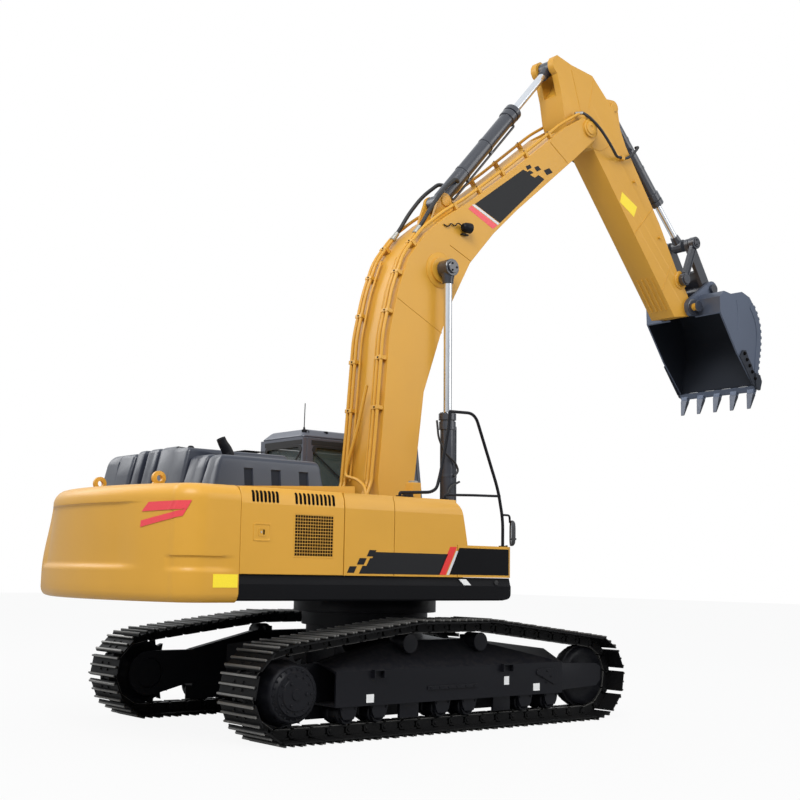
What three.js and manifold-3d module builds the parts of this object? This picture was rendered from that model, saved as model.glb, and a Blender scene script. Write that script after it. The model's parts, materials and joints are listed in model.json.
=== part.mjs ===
// Crawler excavator of the thirty tonne class, as an assembly of named sub-parts.
// Millimetres. +X points forward, +Y to the left and +Z up, with the slew axis on X = Y = 0
// while the pieces are drawn. The finished group is then centred over its own footprint.
import * as THREE from 'three';
import { ConvexGeometry } from 'three/addons/geometries/ConvexGeometry.js';
import { mergeVertices } from 'three/addons/utils/BufferGeometryUtils.js';
import Module from 'manifold-3d';

const wasm = await Module();
wasm.setup();

// ---- driving dimensions -------------------------------------------------------------------

const GAP = 0.4;                 // between pieces that touch
const RUNNING = 6;               // between pieces that move past each other

// Tracks
const GAUGE = 2590;
const SHOE_WIDTH = 600;
const SHOE_COUNT = 48;
const AXLE_X = 2005;             // sprocket and idler stand this far behind and ahead
const AXLE_Z = 460;
const PIN_RADIUS = 371;          // chain pins round the sprocket and idler
const GROUSER_OUT = 89;          // chain pins to the grouser tips
const SHOE_BACK = 47;            // chain pins to the back of the shoe plate
const RAIL_IN = 50;              // chain pins to the face that rolls on the rollers
const CARRIER_X = [-507, 440];
const CARRIER_TOP = 1016;        // chain pins where they pass over the carrier rollers
const ROLLER_X = [-1310, -940, -140, 220, 1020, 1410];
const GUARD_X = [-560, 690];

// House
const HALF_WIDTH = 1490;
const DECK_Z = 1285;             // underside of the revolving frame
const SKIRT_TOP = 1515;
const PANEL_TOP = 2300;
const TAIL_RADIUS = 3430;
const TAIL_FRONT = -2585;        // where the counterweight meets the doors
const SEAMS = [-1430, -820, 10]; // rear door, tank and tool box edges on the right side
const TOOL_BOX_END = 765;
const TOOL_BOX_TOP = 1843;
const TANK_IN = -590;            // inner side of the tanks and the tool box

// Cab, on the left of the boom
const CAB = { back: -480, front: 1380, right: 585, left: 1450, floor: 1525, roof: 3100 };

// Pins of the digging linkage, as [x, z]
const BOOM_FOOT = [100, 2050];
const BOOM_NOSE = [3344, 7385];
const LIFT_BASE = [800, 1500];
const LIFT_EYE = [762, 5035];
const ARM_CYL_BASE = [975, 5945];
const ARM_CYL_EYE = [2890, 8170];
const BUCKET_CYL_BASE = [4030, 7900];
const ROCKER_PIN = [5350, 5690];
const LINK_PIN = [5600, 6260];
const BUCKET_LINK_PIN = [5990, 5650];
const BUCKET_PIN = [5530, 5320];

const BOOM_HALF = 310;
const ARM_HALF = 200;
const BUCKET_HALF = 650;
const LIFT_Y = 448;              // the two lifting cylinders stand beside the boom

// ---- finishes -----------------------------------------------------------------------------

const finish = (color, roughness, metalness) =>
  new THREE.MeshStandardMaterial({ color, roughness, metalness });
const YELLOW = finish(0xd9a83a, 0.42, 0.1);
const BLACK = finish(0x1b1c20, 0.5, 0.2);
const HOOD_BLACK = finish(0x3a3d45, 0.6, 0.0);
const TRACK_STEEL = finish(0x26262a, 0.6, 0.6);
const CHROME = finish(0xd8dadd, 0.15, 1.0);
const BUCKET_STEEL = finish(0x20222a, 0.5, 0.4);
const GLASS = new THREE.MeshStandardMaterial({
  color: 0x53707a, roughness: 0.08, metalness: 0.0, transparent: true, opacity: 0.4,
});
const RUBBER = finish(0x17171a, 0.7, 0.0);
const FABRIC = finish(0x2b2c30, 0.9, 0.0);

// ---- solids -------------------------------------------------------------------------------

function solid(geometry) {
  const bare = geometry.index ? geometry.toNonIndexed() : geometry.clone();
  bare.deleteAttribute('normal');
  bare.deleteAttribute('uv');
  const merged = mergeVertices(bare, 1e-3);
  return new wasm.Manifold(new wasm.Mesh({
    numProp: 3,
    vertProperties: new Float32Array(merged.attributes.position.array),
    triVerts: new Uint32Array(merged.index.array),
  }));
}

const join = (...parts) => parts.flat().reduce((whole, part) => whole.add(part));
const cut = (body, ...tools) => tools.flat().reduce((whole, tool) => whole.subtract(tool), body);

function shapeOf(points, holes = []) {
  const shape = new THREE.Shape(points.map(([a, b]) => new THREE.Vector2(a, b)));
  shape.holes = holes.map((hole) => new THREE.Path(hole.map(([a, b]) => new THREE.Vector2(a, b))));
  return shape;
}

function extrude(points, depth, holes) {
  return new THREE.ExtrudeGeometry(shapeOf(points, holes), { depth, bevelEnabled: false });
}

// A side view outline of [x, z] points, from y0 to y1.
function plate(points, y0, y1, holes = []) {
  return solid(extrude(points, y1 - y0, holes).rotateX(Math.PI / 2).translate(0, y1, 0));
}

// A plan outline of [x, y] points, from z0 to z1.
function slab(points, z0, z1, holes = []) {
  return solid(extrude(points, z1 - z0, holes).translate(0, 0, z0));
}

// A cross-section of [y, z] points, from x0 to x1.
function beam(points, x0, x1, holes = []) {
  const turn = new THREE.Matrix4().makeBasis(
    new THREE.Vector3(0, 1, 0), new THREE.Vector3(0, 0, 1), new THREE.Vector3(1, 0, 0));
  return solid(extrude(points, x1 - x0, holes).applyMatrix4(turn).translate(x0, 0, 0));
}

function box(x0, x1, y0, y1, z0, z1) {
  return solid(new THREE.BoxGeometry(x1 - x0, y1 - y0, z1 - z0)
    .translate((x0 + x1) / 2, (y0 + y1) / 2, (z0 + z1) / 2));
}

function hull(points) {
  return solid(new ConvexGeometry(points.map((p) => new THREE.Vector3(...p))));
}

// A round bar between two points.
function bar(from, to, radius, sides = 14, endRadius = radius) {
  const a = new THREE.Vector3(...from);
  const b = new THREE.Vector3(...to);
  const along = b.clone().sub(a);
  const turn = new THREE.Quaternion().setFromUnitVectors(
    new THREE.Vector3(0, 1, 0), along.clone().normalize());
  const middle = a.add(b).multiplyScalar(0.5);
  return solid(new THREE.CylinderGeometry(endRadius, radius, along.length(), sides)
    .applyQuaternion(turn).translate(middle.x, middle.y, middle.z));
}

// A round bar along Y at an [x, z] pin, from y0 to y1.
const pin = ([x, z], radius, y0, y1, sides = 14) => bar([x, y0, z], [x, y1, z], radius, sides);

// A turned piece along Y at an [x, z] centre, from [radius, y] points that close on the axis.
function turned([x, z], profile, sides = 20) {
  const lathe = new THREE.LatheGeometry(
    profile.map(([r, y]) => new THREE.Vector2(r, y)), sides);
  return solid(lathe.translate(x, 0, z));
}

const mirrored = (body) => body.mirror([0, 1, 0]);

// A route through points whose corners are rounded, as one smooth run.
class Route extends THREE.Curve {
  constructor(points, radius = 60, steps = 3) {
    super();
    const corners = points.map((p) => new THREE.Vector3(...p));
    this.stops = [corners[0]];
    for (let i = 1; i < corners.length - 1; i += 1) {
      if (steps === 0) {
        this.stops.push(corners[i]);
        continue;
      }
      const before = corners[i - 1].clone().sub(corners[i]);
      const after = corners[i + 1].clone().sub(corners[i]);
      const reach = Math.min(radius, before.length() * 0.45, after.length() * 0.45);
      const start = corners[i].clone().addScaledVector(before.normalize(), reach);
      const end = corners[i].clone().addScaledVector(after.normalize(), reach);
      const bend = new THREE.QuadraticBezierCurve3(start, corners[i], end);
      this.stops.push(...bend.getPoints(steps));
    }
    this.stops.push(corners[corners.length - 1]);
  }

  getPoint(t) {
    const place = t * (this.stops.length - 1);
    const index = Math.min(Math.floor(place), this.stops.length - 2);
    return this.stops[index].clone().lerp(this.stops[index + 1], place - index);
  }

  getPointAt(t) { return this.getPoint(t); }

  getTangentAt(t) {
    const last = this.stops.length - 1;
    const index = Math.round(t * last);
    const next = this.stops[Math.min(index + 1, last)];
    return next.clone().sub(this.stops[Math.max(index - 1, 0)]).normalize();
  }
}

function tube(points, radius, { bend = 60, sides = 6, steps = 2 } = {}) {
  const route = new Route(points, bend, steps);
  const section = new THREE.Shape();
  for (let i = 0; i < sides; i += 1) {
    const angle = (i / sides) * 2 * Math.PI;
    const spot = [radius * Math.cos(angle), radius * Math.sin(angle)];
    if (i === 0) section.moveTo(...spot);
    else section.lineTo(...spot);
  }
  return solid(new THREE.ExtrudeGeometry(
    section, { steps: route.stops.length - 1, extrudePath: route, bevelEnabled: false }));
}

// An outline moved inwards by the same distance on every side.
function inset(points, distance) {
  const area = points.reduce((sum, [a, b], i) => {
    const [c, d] = points[(i + 1) % points.length];
    return sum + a * d - c * b;
  }, 0);
  const way = Math.sign(area);
  return points.map((point, i) => {
    const before = points[(i + points.length - 1) % points.length];
    const after = points[(i + 1) % points.length];
    const u = new THREE.Vector2(point[0] - before[0], point[1] - before[1]).normalize();
    const v = new THREE.Vector2(after[0] - point[0], after[1] - point[1]).normalize();
    const nu = new THREE.Vector2(-u.y, u.x).multiplyScalar(way);
    const nv = new THREE.Vector2(-v.y, v.x).multiplyScalar(way);
    const reach = distance / (1 + nu.dot(nv));
    return [point[0] + (nu.x + nv.x) * reach, point[1] + (nu.y + nv.y) * reach];
  });
}

// Points on an arc in any plane view, angles in degrees.
function arc([a, b], radius, from, to, steps = 6) {
  return Array.from({ length: steps + 1 }, (_, i) => {
    const angle = THREE.MathUtils.degToRad(from + ((to - from) * i) / steps);
    return [a + radius * Math.cos(angle), b + radius * Math.sin(angle)];
  });
}

const machine = new THREE.Group();

function piece(name, body, material) {
  const { vertProperties, triVerts, numProp } = body.getMesh();
  const geometry = new THREE.BufferGeometry();
  const places = new Float32Array((vertProperties.length / numProp) * 3);
  for (let i = 0; i < places.length / 3; i += 1) {
    for (let k = 0; k < 3; k += 1) places[i * 3 + k] = vertProperties[i * numProp + k];
  }
  geometry.setAttribute('position', new THREE.BufferAttribute(places, 3));
  geometry.setIndex(new THREE.BufferAttribute(new Uint32Array(triVerts), 1));
  geometry.computeVertexNormals();
  const mesh = new THREE.Mesh(geometry, material);
  mesh.name = name;
  machine.add(mesh);
}

// A left-hand piece and its mirror image on the right.
function pair(name, body, material) {
  piece(`${name}_left`, body, material);
  piece(`${name}_right`, mirrored(body), material);
}

// ---- undercarriage ------------------------------------------------------------------------

// The belt line that the chain pins follow, counter-clockwise round four circles.
function beltAround(circles) {
  const runs = circles.map((from, i) => {
    const to = circles[(i + 1) % circles.length];
    const span = Math.hypot(to.x - from.x, to.z - from.z);
    const ux = (to.x - from.x) / span;
    const uz = (to.z - from.z) / span;
    const lean = (from.r - to.r) / span;
    const square = Math.sqrt(1 - lean * lean);
    const angle = Math.atan2(uz * lean - ux * square, ux * lean + uz * square);
    return { from, to, angle, straight: span * square };
  });
  runs.forEach((run, i) => {
    const next = runs[(i + 1) % runs.length].angle;
    run.sweep = (next - run.angle + 4 * Math.PI) % (2 * Math.PI);
    run.length = run.straight + run.sweep * run.to.r;
  });
  const total = runs.reduce((sum, run) => sum + run.length, 0);
  const at = (distance, out) => {
    let left = ((distance % total) + total) % total;
    const run = runs.find((candidate) => {
      if (left <= candidate.length) return true;
      left -= candidate.length;
      return false;
    }) ?? runs[runs.length - 1];
    if (left < run.straight) {
      const share = left / run.straight;
      const spot = (circle) => [
        circle.x + (circle.r + out) * Math.cos(run.angle),
        circle.z + (circle.r + out) * Math.sin(run.angle)];
      const [a, b] = [spot(run.from), spot(run.to)];
      return [a[0] + (b[0] - a[0]) * share, a[1] + (b[1] - a[1]) * share];
    }
    const angle = run.angle + (left - run.straight) / run.to.r;
    return [run.to.x + (run.to.r + out) * Math.cos(angle),
      run.to.z + (run.to.r + out) * Math.sin(angle)];
  };
  return { total, at };
}

const CROWN = 500;               // the belt bends over a carrier roller on this radius
const belt = beltAround([
  { x: AXLE_X, z: AXLE_Z, r: PIN_RADIUS },
  { x: CARRIER_X[1], z: CARRIER_TOP - CROWN, r: CROWN },
  { x: CARRIER_X[0], z: CARRIER_TOP - CROWN, r: CROWN },
  { x: -AXLE_X, z: AXLE_Z, r: PIN_RADIUS },
]);
const PITCH = belt.total / SHOE_COUNT;
const SPROCKET = [-AXLE_X, AXLE_Z];
const IDLER = [AXLE_X, AXLE_Z];
const TRACK_Y = GAUGE / 2;

function beltLoop(shares, out) {
  return Array.from({ length: SHOE_COUNT }, (_, i) => shares.map(
    (share, k) => belt.at((i + share) * PITCH, Array.isArray(out) ? out[k] : out))).flat();
}

function trackLoop() {
  const shoes = plate(
    beltLoop([0.05, 0.95, 1.0], [GROUSER_OUT, GROUSER_OUT, SHOE_BACK + 12]),
    TRACK_Y - SHOE_WIDTH / 2, TRACK_Y + SHOE_WIDTH / 2, [beltLoop([0], SHOE_BACK)]);
  const rail = (y) => plate(
    beltLoop([0], SHOE_BACK + 6), y - 22, y + 22, [beltLoop([0], -RAIL_IN)]);
  return join(shoes, rail(TRACK_Y - 72), rail(TRACK_Y + 72));
}
pair('track', trackLoop(), TRACK_STEEL);

// Sprocket ring, toothed between the two chain rails, on the final drive's drum.
const TEETH = 21;
function finalDrive() {
  const teeth = Array.from({ length: TEETH }, (_, i) => {
    const step = 360 / TEETH;
    return [[-0.34, 318], [0, 374], [0.34, 318]].map(([share, r]) => {
      const angle = THREE.MathUtils.degToRad((i + share) * step);
      return [SPROCKET[0] + r * Math.cos(angle), SPROCKET[1] + r * Math.sin(angle)];
    });
  }).flat();
  const toothed = plate(teeth, TRACK_Y - 32, TRACK_Y + 32);
  const drum = turned(SPROCKET, [
    [0, 1130], [150, 1130], [150, 1258], [280, 1262], [300, 1330], [300, 1470], [262, 1500],
    [262, 1540], [205, 1560], [195, 1588], [0, 1588]]);
  return join(toothed, drum);
}
pair('final_drive', finalDrive(), BLACK);

function idler() {
  const half = [[0, 129.6], [55, 129.6], [55, 96], [120, 96], [215, 50], [305, 96], [305, 44], [335, 40]];
  const left = half.map(([r, y]) => [r, TRACK_Y - y]);
  const right = half.map(([r, y]) => [r, TRACK_Y + y]).reverse();
  return turned(IDLER, [...left, ...right], 18);
}
pair('idler', idler(), BLACK);

const FRAME_IN = 1110;           // inner and outer faces of the track frame
const FRAME_OUT = 1480;
const FRAME_BOTTOM = 307;

function trackFrame() {
  const beamAt = (x, ridge, grow) => [
    [x, FRAME_IN + grow, FRAME_BOTTOM + grow], [x, FRAME_OUT - grow, FRAME_BOTTOM + grow],
    [x, FRAME_OUT - grow, 632 - grow], [x, 1205, ridge - grow], [x, FRAME_IN + grow, ridge - grow]];
  const outer = hull([...beamAt(-1480, 700, 0), ...beamAt(-700, 880, 0),
    ...beamAt(420, 890, 0), ...beamAt(1560, 760, 0)]);
  const hollow = hull([...beamAt(-1500, 700, 22), ...beamAt(-700, 880, 22),
    ...beamAt(420, 890, 22), ...beamAt(1530, 760, 22)]);
  const drivePlate = plate([[-1440, 330], [-1440, 690], [-1560, 690],
    ...arc(SPROCKET, 235, 80, 280, 10), [-1560, 330]], FRAME_IN, FRAME_IN + 60);
  const yokeSide = (y) => plate([[1500, 330], [2120, 360], [2190, 420], [2190, 560],
    [2120, 600], [1500, 620]], y - 22, y + 22);
  const yoke = [yokeSide(TRACK_Y - 152), yokeSide(TRACK_Y + 152)];
  const roller = ([x, z], r) => pin([x, z], r, TRACK_Y - 140, TRACK_Y + 140, 10);
  const lower = ROLLER_X.map((x) => roller([x, 232], 88));
  const guards = GUARD_X.map((x) => [
    box(x - 120, x + 120, TRACK_Y - 150, TRACK_Y - 118, 165, 320),
    box(x - 120, x + 120, TRACK_Y + 118, TRACK_Y + 150, 165, 320)]).flat();
  const carriers = CARRIER_X.map((x) => [
    pin([x, 866], 90, TRACK_Y - 90, TRACK_Y + 90, 12),
    box(x - 45, x + 45, 1115, TRACK_Y - 85, 800, 930)]).flat();
  const body = cut(join(cut(outer, hollow), drivePlate, yoke),
    pin(SPROCKET, 160, FRAME_IN - 10, 1200));
  return join(body, lower, guards, carriers);
}
pair('track_frame', trackFrame(), BLACK);

const bearing = (radius, bore, z0, z1) => cut(
  bar([0, 0, z0], [0, 0, z1], radius, 32), bar([0, 0, z0 - 5], [0, 0, z1 + 5], bore, 32));

function carBody() {
  const centre = bar([0, 0, 470], [0, 0, 1000], 640, 32);
  const leg = (sx, sy) => {
    const at = (x, y, z) => [sx * x, sy * y, z];
    const outer = hull([at(60, 300, 480), at(60, 300, 900), at(560, 200, 480), at(560, 200, 900),
      at(470, FRAME_IN - GAP, 400), at(470, FRAME_IN - GAP, 780),
      at(1060, FRAME_IN - GAP, 400), at(1060, FRAME_IN - GAP, 740)]);
    const hollow = hull([at(250, 420, 505), at(250, 420, 860), at(500, 420, 505),
      at(500, 420, 860), at(500, FRAME_IN + 5, 425), at(500, FRAME_IN + 5, 752),
      at(1030, FRAME_IN + 5, 425), at(1030, FRAME_IN + 5, 714)]);
    return cut(outer, hollow);
  };
  const legs = [leg(1, 1), leg(1, -1), leg(-1, 1), leg(-1, -1)];
  const lowerRing = bearing(690, 480, 990, 1128);
  return join(cut(join(centre, legs), bar([0, 0, 460], [0, 0, 950], 570, 32)), lowerRing);
}

piece('car_body', carBody(), BLACK);

// ---- revolving frame ----------------------------------------------------------------------

const GIRDER_IN = 325;
const GIRDER_OUT = 352;
const LUG_IN = 540;
const LUG_OUT = 566;

function revolvingFrame() {
  const swingRing = bearing(780, 480, 1128 + RUNNING, DECK_Z);
  const deckPlan = [[TAIL_FRONT + 5, -1435], [650, -1435], [708, -1380], [708, -580],
    [960, -575], [960, 575], [1340, 580], [1340, 1435], [TAIL_FRONT + 5, 1435]];
  const deck = cut(slab(deckPlan, DECK_Z - 2, DECK_Z + 22), bar([0, 0, 1200], [0, 0, 1400], 470, 36));
  const girderSide = [[TAIL_FRONT + 5, DECK_Z], [980, DECK_Z], [1010, 1400],
    ...arc(LIFT_BASE, 150, 10, 70, 4), [520, 1690], [300, 1960], ...arc(BOOM_FOOT, 170, -10, 190, 8),
    [-300, 1760], [-700, 1600], [TAIL_FRONT + 5, 1560]];
  const girders = [plate(girderSide, GIRDER_IN, GIRDER_OUT),
    plate(girderSide, -GIRDER_OUT, -GIRDER_IN)];
  const lugSide = [[560, DECK_Z], [960, DECK_Z], ...arc(LIFT_BASE, 140, 0, 180, 8)];
  const lugs = [plate(lugSide, LUG_IN, LUG_OUT), plate(lugSide, -LUG_OUT, -LUG_IN)];
  const pins = [pin(BOOM_FOOT, 62, -GIRDER_OUT - 20, GIRDER_OUT + 20),
    pin(LIFT_BASE, 48, GIRDER_IN, LUG_OUT + 12), pin(LIFT_BASE, 48, -LUG_OUT - 12, -GIRDER_IN)];
  const braces = [box(-900, -860, -GIRDER_IN, GIRDER_IN, DECK_Z, 1560),
    box(-2100, -2060, -GIRDER_IN, GIRDER_IN, DECK_Z, 1540),
    box(890, 930, -GIRDER_IN, GIRDER_IN, DECK_Z, 1390)];
  const feet = [box(-2500, -2420, -1400, 1400, DECK_Z, 1420),
    box(-1300, -1220, -1400, 1400, DECK_Z, 1420)];
  return join(swingRing, deck, girders, lugs, pins, braces, feet);
}
piece('revolving_frame', revolvingFrame(), BLACK);

function skirt() {
  const wall = 50;
  const outline = (off) => [[TAIL_FRONT, -HALF_WIDTH + off],
    ...arc([TOOL_BOX_END - 100, -HALF_WIDTH + 100], 100 - off, -90, 0, 4),
    [TOOL_BOX_END - off, -600]];
  const plan = [...outline(0), ...outline(wall).reverse()];
  return slab(plan, DECK_Z, SKIRT_TOP);
}
piece('skirt_right', skirt(), BLACK);
piece('skirt_left', slab([[TAIL_FRONT, 1440], [1350, 1440], [1350, 595], [1400, 595],
  [1400, HALF_WIDTH - 60], [1340, HALF_WIDTH], [TAIL_FRONT, HALF_WIDTH]], DECK_Z, SKIRT_TOP), BLACK);

const TAIL_SWEEP = 18;           // degrees of the tail arc each side of the centre line
const CORNER = 300;              // radius of the counterweight's rear corners
function counterweightPlan(off, front) {
  const side = HALF_WIDTH - off;
  const corner = [-2905, HALF_WIDTH - CORNER];
  const half = [[front, side], ...arc(corner, CORNER - off, 90, 155, 5),
    ...arc([0, 0], TAIL_RADIUS - off, 180 - TAIL_SWEEP, 180, 4)];
  const other = half.slice(0, -1).map(([x, y]) => [x, -y]).reverse();
  return [...half, ...other];
}

function counterweight() {
  const levels = [[1268, 60], [1296, 18], [1350, 0], [2170, 0], [2245, 24], [2290, 66], [2310, 120]];
  const body = hull(levels.flatMap(([z, off]) =>
    counterweightPlan(off, TAIL_FRONT - GAP).map(([x, y]) => [x, y, z])));
  const hollow = hull([[1390, 130], [2190, 130]].flatMap(([z, off]) =>
    counterweightPlan(off, TAIL_FRONT + 20).map(([x, y]) => [x, y, z])));
  const ribs = [-700, 0, 700].map((y) => box(-3420, TAIL_FRONT - GAP, y - 45, y + 45, 1380, 2200));
  const eyes = [-700, 700].map((y) => cut(
    plate([[-3010, 2290], [-2850, 2290], ...arc([-2930, 2385], 62, 0, 180, 8)], y - 22, y + 22),
    pin([-2930, 2385], 30, y - 30, y + 30, 12)));
  return join(cut(body, cut(hollow, ribs)), eyes);
}
piece('counterweight', counterweight(), YELLOW);

// ---- engine bay, hood and doors -------------------------------------------------------------

piece('engine', box(-2440, -1480, -620, 720, 1600, 2230), BLACK);

const HOOD = { back: -2530, front: -1266, half: 1150, base: 2378, top: 2735, rightTop: 2612, step: -330 };

function houseFrame() {
  const firewall = cut(box(-1300, -1262, TANK_IN + 8, 1385, SKIRT_TOP + GAP, PANEL_TOP + 5),
    box(-1310, -1250, -GIRDER_OUT - 8, GIRDER_OUT + 8, 1500, 1610));
  const deck = cut(
    box(TAIL_FRONT + 4, -1240, -1385, 1385, PANEL_TOP + 1, HOOD.base - RUNNING),
    box(HOOD.back + 45, HOOD.front - 45, -HOOD.half + 45, HOOD.half - 45, 2200, 2500));
  const leftDeck = box(-1262, CAB.back - 40, 470, 1385, PANEL_TOP - 60, PANEL_TOP - 10);
  const leftWall = box(-1262, CAB.back - 40, 440, 475, SKIRT_TOP + GAP, PANEL_TOP - 10);
  const pillars = [1200, -1385].map((y) => box(
    TAIL_FRONT + 4, TAIL_FRONT + 40, y, y + 185, SKIRT_TOP + GAP, PANEL_TOP + 5));
  pillars.push(box(CAB.back - 80, CAB.back - 40, 440, 1385, SKIRT_TOP + GAP, PANEL_TOP - 10));
  const rise = (x0, x1, x2, half, top) => hull([-half, half].flatMap((y) => [
    [x0, y, 1580], [x0, y, top], [x1, y * 0.8, top - 120], [x2, y * 0.78, 1700], [x2, y * 0.78, 1580]]));
  const slots = [-1, 1].map((side) => box(-1300, -400, side * 392 - 77, side * 392 + 77, 1500, 1725));
  const valveCover = cut(rise(-1270, -700, -430, 430, 2080), rise(-1255, -720, -460, 400, 2050), slots);
  return join(firewall, deck, leftDeck, leftWall, pillars, valveCover);
}
piece('house_frame', houseFrame(), YELLOW);

// The hood is higher over the engine than over the pump at its right end.
function hood() {
  const block = (off, y0, y1, top) => hull([
    [HOOD.base + (off ? -20 : 0), 0, 0], [top - 180, 25, 35], [top - 60, 60, 110], [top, 110, 190]]
    .flatMap(([z, inX, inY]) => [HOOD.back + inX + off, HOOD.front - 1.4 * inX - off].flatMap((x) => [
      [x, y0 < -HOOD.half / 2 ? y0 + inY + off : y0 + inY / 3 + off, z - (z > top - 60 ? off : 0)],
      [x, y1 > HOOD.half / 2 ? y1 - inY - off : y1 - off, z - (z > top - 60 ? off : 0)]])));
  const right = (off) => block(off, -HOOD.half, HOOD.step + 100, HOOD.rightTop);
  const main = (off) => block(off, HOOD.step - 60, HOOD.half, HOOD.top);
  return cut(join(main(0), right(0)), main(35), right(35));
}
piece('engine_hood', hood(), HOOD_BLACK);

const STACK_FOOT = HOOD.rightTop + GAP;
piece('exhaust_pipe', tube([[-2080, -460, 2500], [-2090, -460, 2740], [-2175, -460, 2800],
  [-2225, -460, 2850]], 62, { bend: 60, sides: 12 })
  .subtract(box(-2700, -1700, -700, 300, 2300, STACK_FOOT)), BLACK);

const PANEL = 42;                // doors and outer panels are this thick
function sidePanel(x0, x1, top = PANEL_TOP) {
  const y = HALF_WIDTH;
  const outer = [[y, SKIRT_TOP + 5], [y, top - 150], [y - 14, top - 60], [y - 50, top], [y - 96, top]];
  const inner = [[y - 96, top - 20], [y - 62, top - 42], [y - PANEL, top - 130],
    [y - PANEL, SKIRT_TOP + 5]];
  return beam([...outer, ...inner], x0, x1);
}

const doorLeaf = (x0, x1) => sidePanel(x0 + 5, x1 - 5);
piece('pump_door', mirrored(doorLeaf(TAIL_FRONT, SEAMS[0])), YELLOW);
const LEFT_SEAM = -1500;
piece('radiator_door', doorLeaf(TAIL_FRONT, LEFT_SEAM), YELLOW);
piece('filter_door', doorLeaf(LEFT_SEAM, CAB.back - 45), YELLOW);

function tank(x0, x1, y0, top) {
  const skin = mirrored(sidePanel(x0 + 4, x1 - 4, top));
  const shell = box(x0 + 4, x1 - 4, -HALF_WIDTH + 30, y0, SKIRT_TOP + 5, top - 2);
  const hollow = box(x0 + 24, x1 - 24, -HALF_WIDTH + 90, y0 - 20, SKIRT_TOP + 30, top - 60);
  const drain = bar([(x0 + x1) / 2, -900, SKIRT_TOP - 20], [(x0 + x1) / 2, -900, SKIRT_TOP + 60], 60);
  return cut(join(skin, shell), hollow, drain);
}
piece('hydraulic_tank', tank(SEAMS[0], SEAMS[1], TANK_IN, PANEL_TOP), YELLOW);
// The fuel tank's front leans over the rear of the tool box.
function tankNose() {
  const foot = TOOL_BOX_TOP + GAP;
  const front = [[149, foot], [119, 2000], [75, 2200], [19, 2271], [-60, PANEL_TOP - 2]];
  const y = -HALF_WIDTH;
  const across = [[y, foot], [y, PANEL_TOP - 150], [y + 14, PANEL_TOP - 60], [y + 50, PANEL_TOP - 2],
    [TANK_IN, PANEL_TOP - 2], [TANK_IN, foot]];
  return plate([...front, [-60, foot]], y, TANK_IN).intersect(beam(across, -60, 200));
}
piece('fuel_tank', join(tank(SEAMS[1], SEAMS[2], TANK_IN, PANEL_TOP), tankNose()), YELLOW);

const LID_OUT = -1340;           // the rail stands on the rim outside the lid
const LID_BACK = 167;            // the lid is hinged in front of the fuel tank
function toolBox() {
  const [x0, x1] = [SEAMS[2] + 6, TOOL_BOX_END];
  const plan = (off) => [[x0 + off, TANK_IN - off], [x0 + off, -HALF_WIDTH + off],
    ...arc([x1 - 100, -HALF_WIDTH + 100], 100 - off, -90, 0, 4), [x1 - off, TANK_IN - off]];
  const mouth = box(LID_BACK - 6, x1 + 5, LID_OUT - 5, TANK_IN + 5, TOOL_BOX_TOP - 36, TOOL_BOX_TOP + 5);
  return cut(slab(plan(0), SKIRT_TOP + 5, TOOL_BOX_TOP),
    slab(plan(25), SKIRT_TOP + 30, TOOL_BOX_TOP - 35), mouth);
}
piece('tool_box', toolBox(), BLACK);
piece('tool_box_lid', box(LID_BACK, TOOL_BOX_END, LID_OUT, TANK_IN,
  TOOL_BOX_TOP - 35, TOOL_BOX_TOP), YELLOW);

// ---- cab ------------------------------------------------------------------------------------

const WALL = 55;
const CAB_SIDE = [[CAB.back, CAB.floor + 45], [CAB.front - 60, CAB.floor + 45], [CAB.front, 1950],
  [CAB.front - 150, CAB.roof - 40], [CAB.back, CAB.roof - 40]];
const inRect = (x0, x1, z0, z1) => [[x0, z0], [x1, z0], [x1, z1], [x0, z1]];

piece('cab_floor', slab([[CAB.back, CAB.right], [CAB.front - 60, CAB.right],
  [CAB.front - 60, CAB.left], [CAB.back, CAB.left]], CAB.floor, CAB.floor + 45 - GAP), BLACK);
const REAR_WINDOW = { y0: 620, y1: 1330, z0: 2240, z1: 2960 };
piece('cab_rear_panel', beam([[CAB.right, CAB.floor + 45], [CAB.left, CAB.floor + 45],
  [CAB.left, CAB.roof - 40 - GAP], [CAB.right, CAB.roof - 40 - GAP]], CAB.back, CAB.back + WALL,
[inRect(REAR_WINDOW.y0, REAR_WINDOW.y1, REAR_WINDOW.z0, REAR_WINDOW.z1)]), BLACK);
const sideWall = [[CAB.back + WALL + GAP, CAB.floor + 45], [CAB.front - 60 - WALL, CAB.floor + 45],
  [CAB.front - WALL, 1950], [CAB.front - 150 - WALL, CAB.roof - 40 - GAP],
  [CAB.back + WALL + GAP, CAB.roof - 40 - GAP]];
const RIGHT_WINDOW = [[-330, 2150], [900, 2050], [1180, 2050], [1090, 2960], [-330, 2960]];
piece('cab_right_panel', plate(sideWall, CAB.right, CAB.right + WALL, [RIGHT_WINDOW]), BLACK);
const DOORWAY = [[-250, 1640], [780, 1640], [900, 1950], [900, 2600], [830, 2990], [-250, 2990]];
piece('cab_left_panel', plate(sideWall, CAB.left - WALL, CAB.left, [DOORWAY]), BLACK);
const frontStrip = (grow) => [[CAB.front - 60, CAB.floor + 45], [CAB.front, 1950],
  [CAB.front - 150, CAB.roof - 40 - GAP], [CAB.front - 150 - grow, CAB.roof - 40 - GAP],
  [CAB.front - grow, 1950], [CAB.front - 60 - grow, CAB.floor + 45]];
const paneX = (z, back) => CAB.front - 150 * ((z - 1950) / (CAB.roof - 40 - 1950)) - back;
piece('cab_front_frame', cut(plate(frontStrip(WALL - GAP), CAB.right, CAB.left),
  box(1000, 1500, CAB.right + 70, CAB.left - 70, 1990, 2990)), BLACK);
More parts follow.
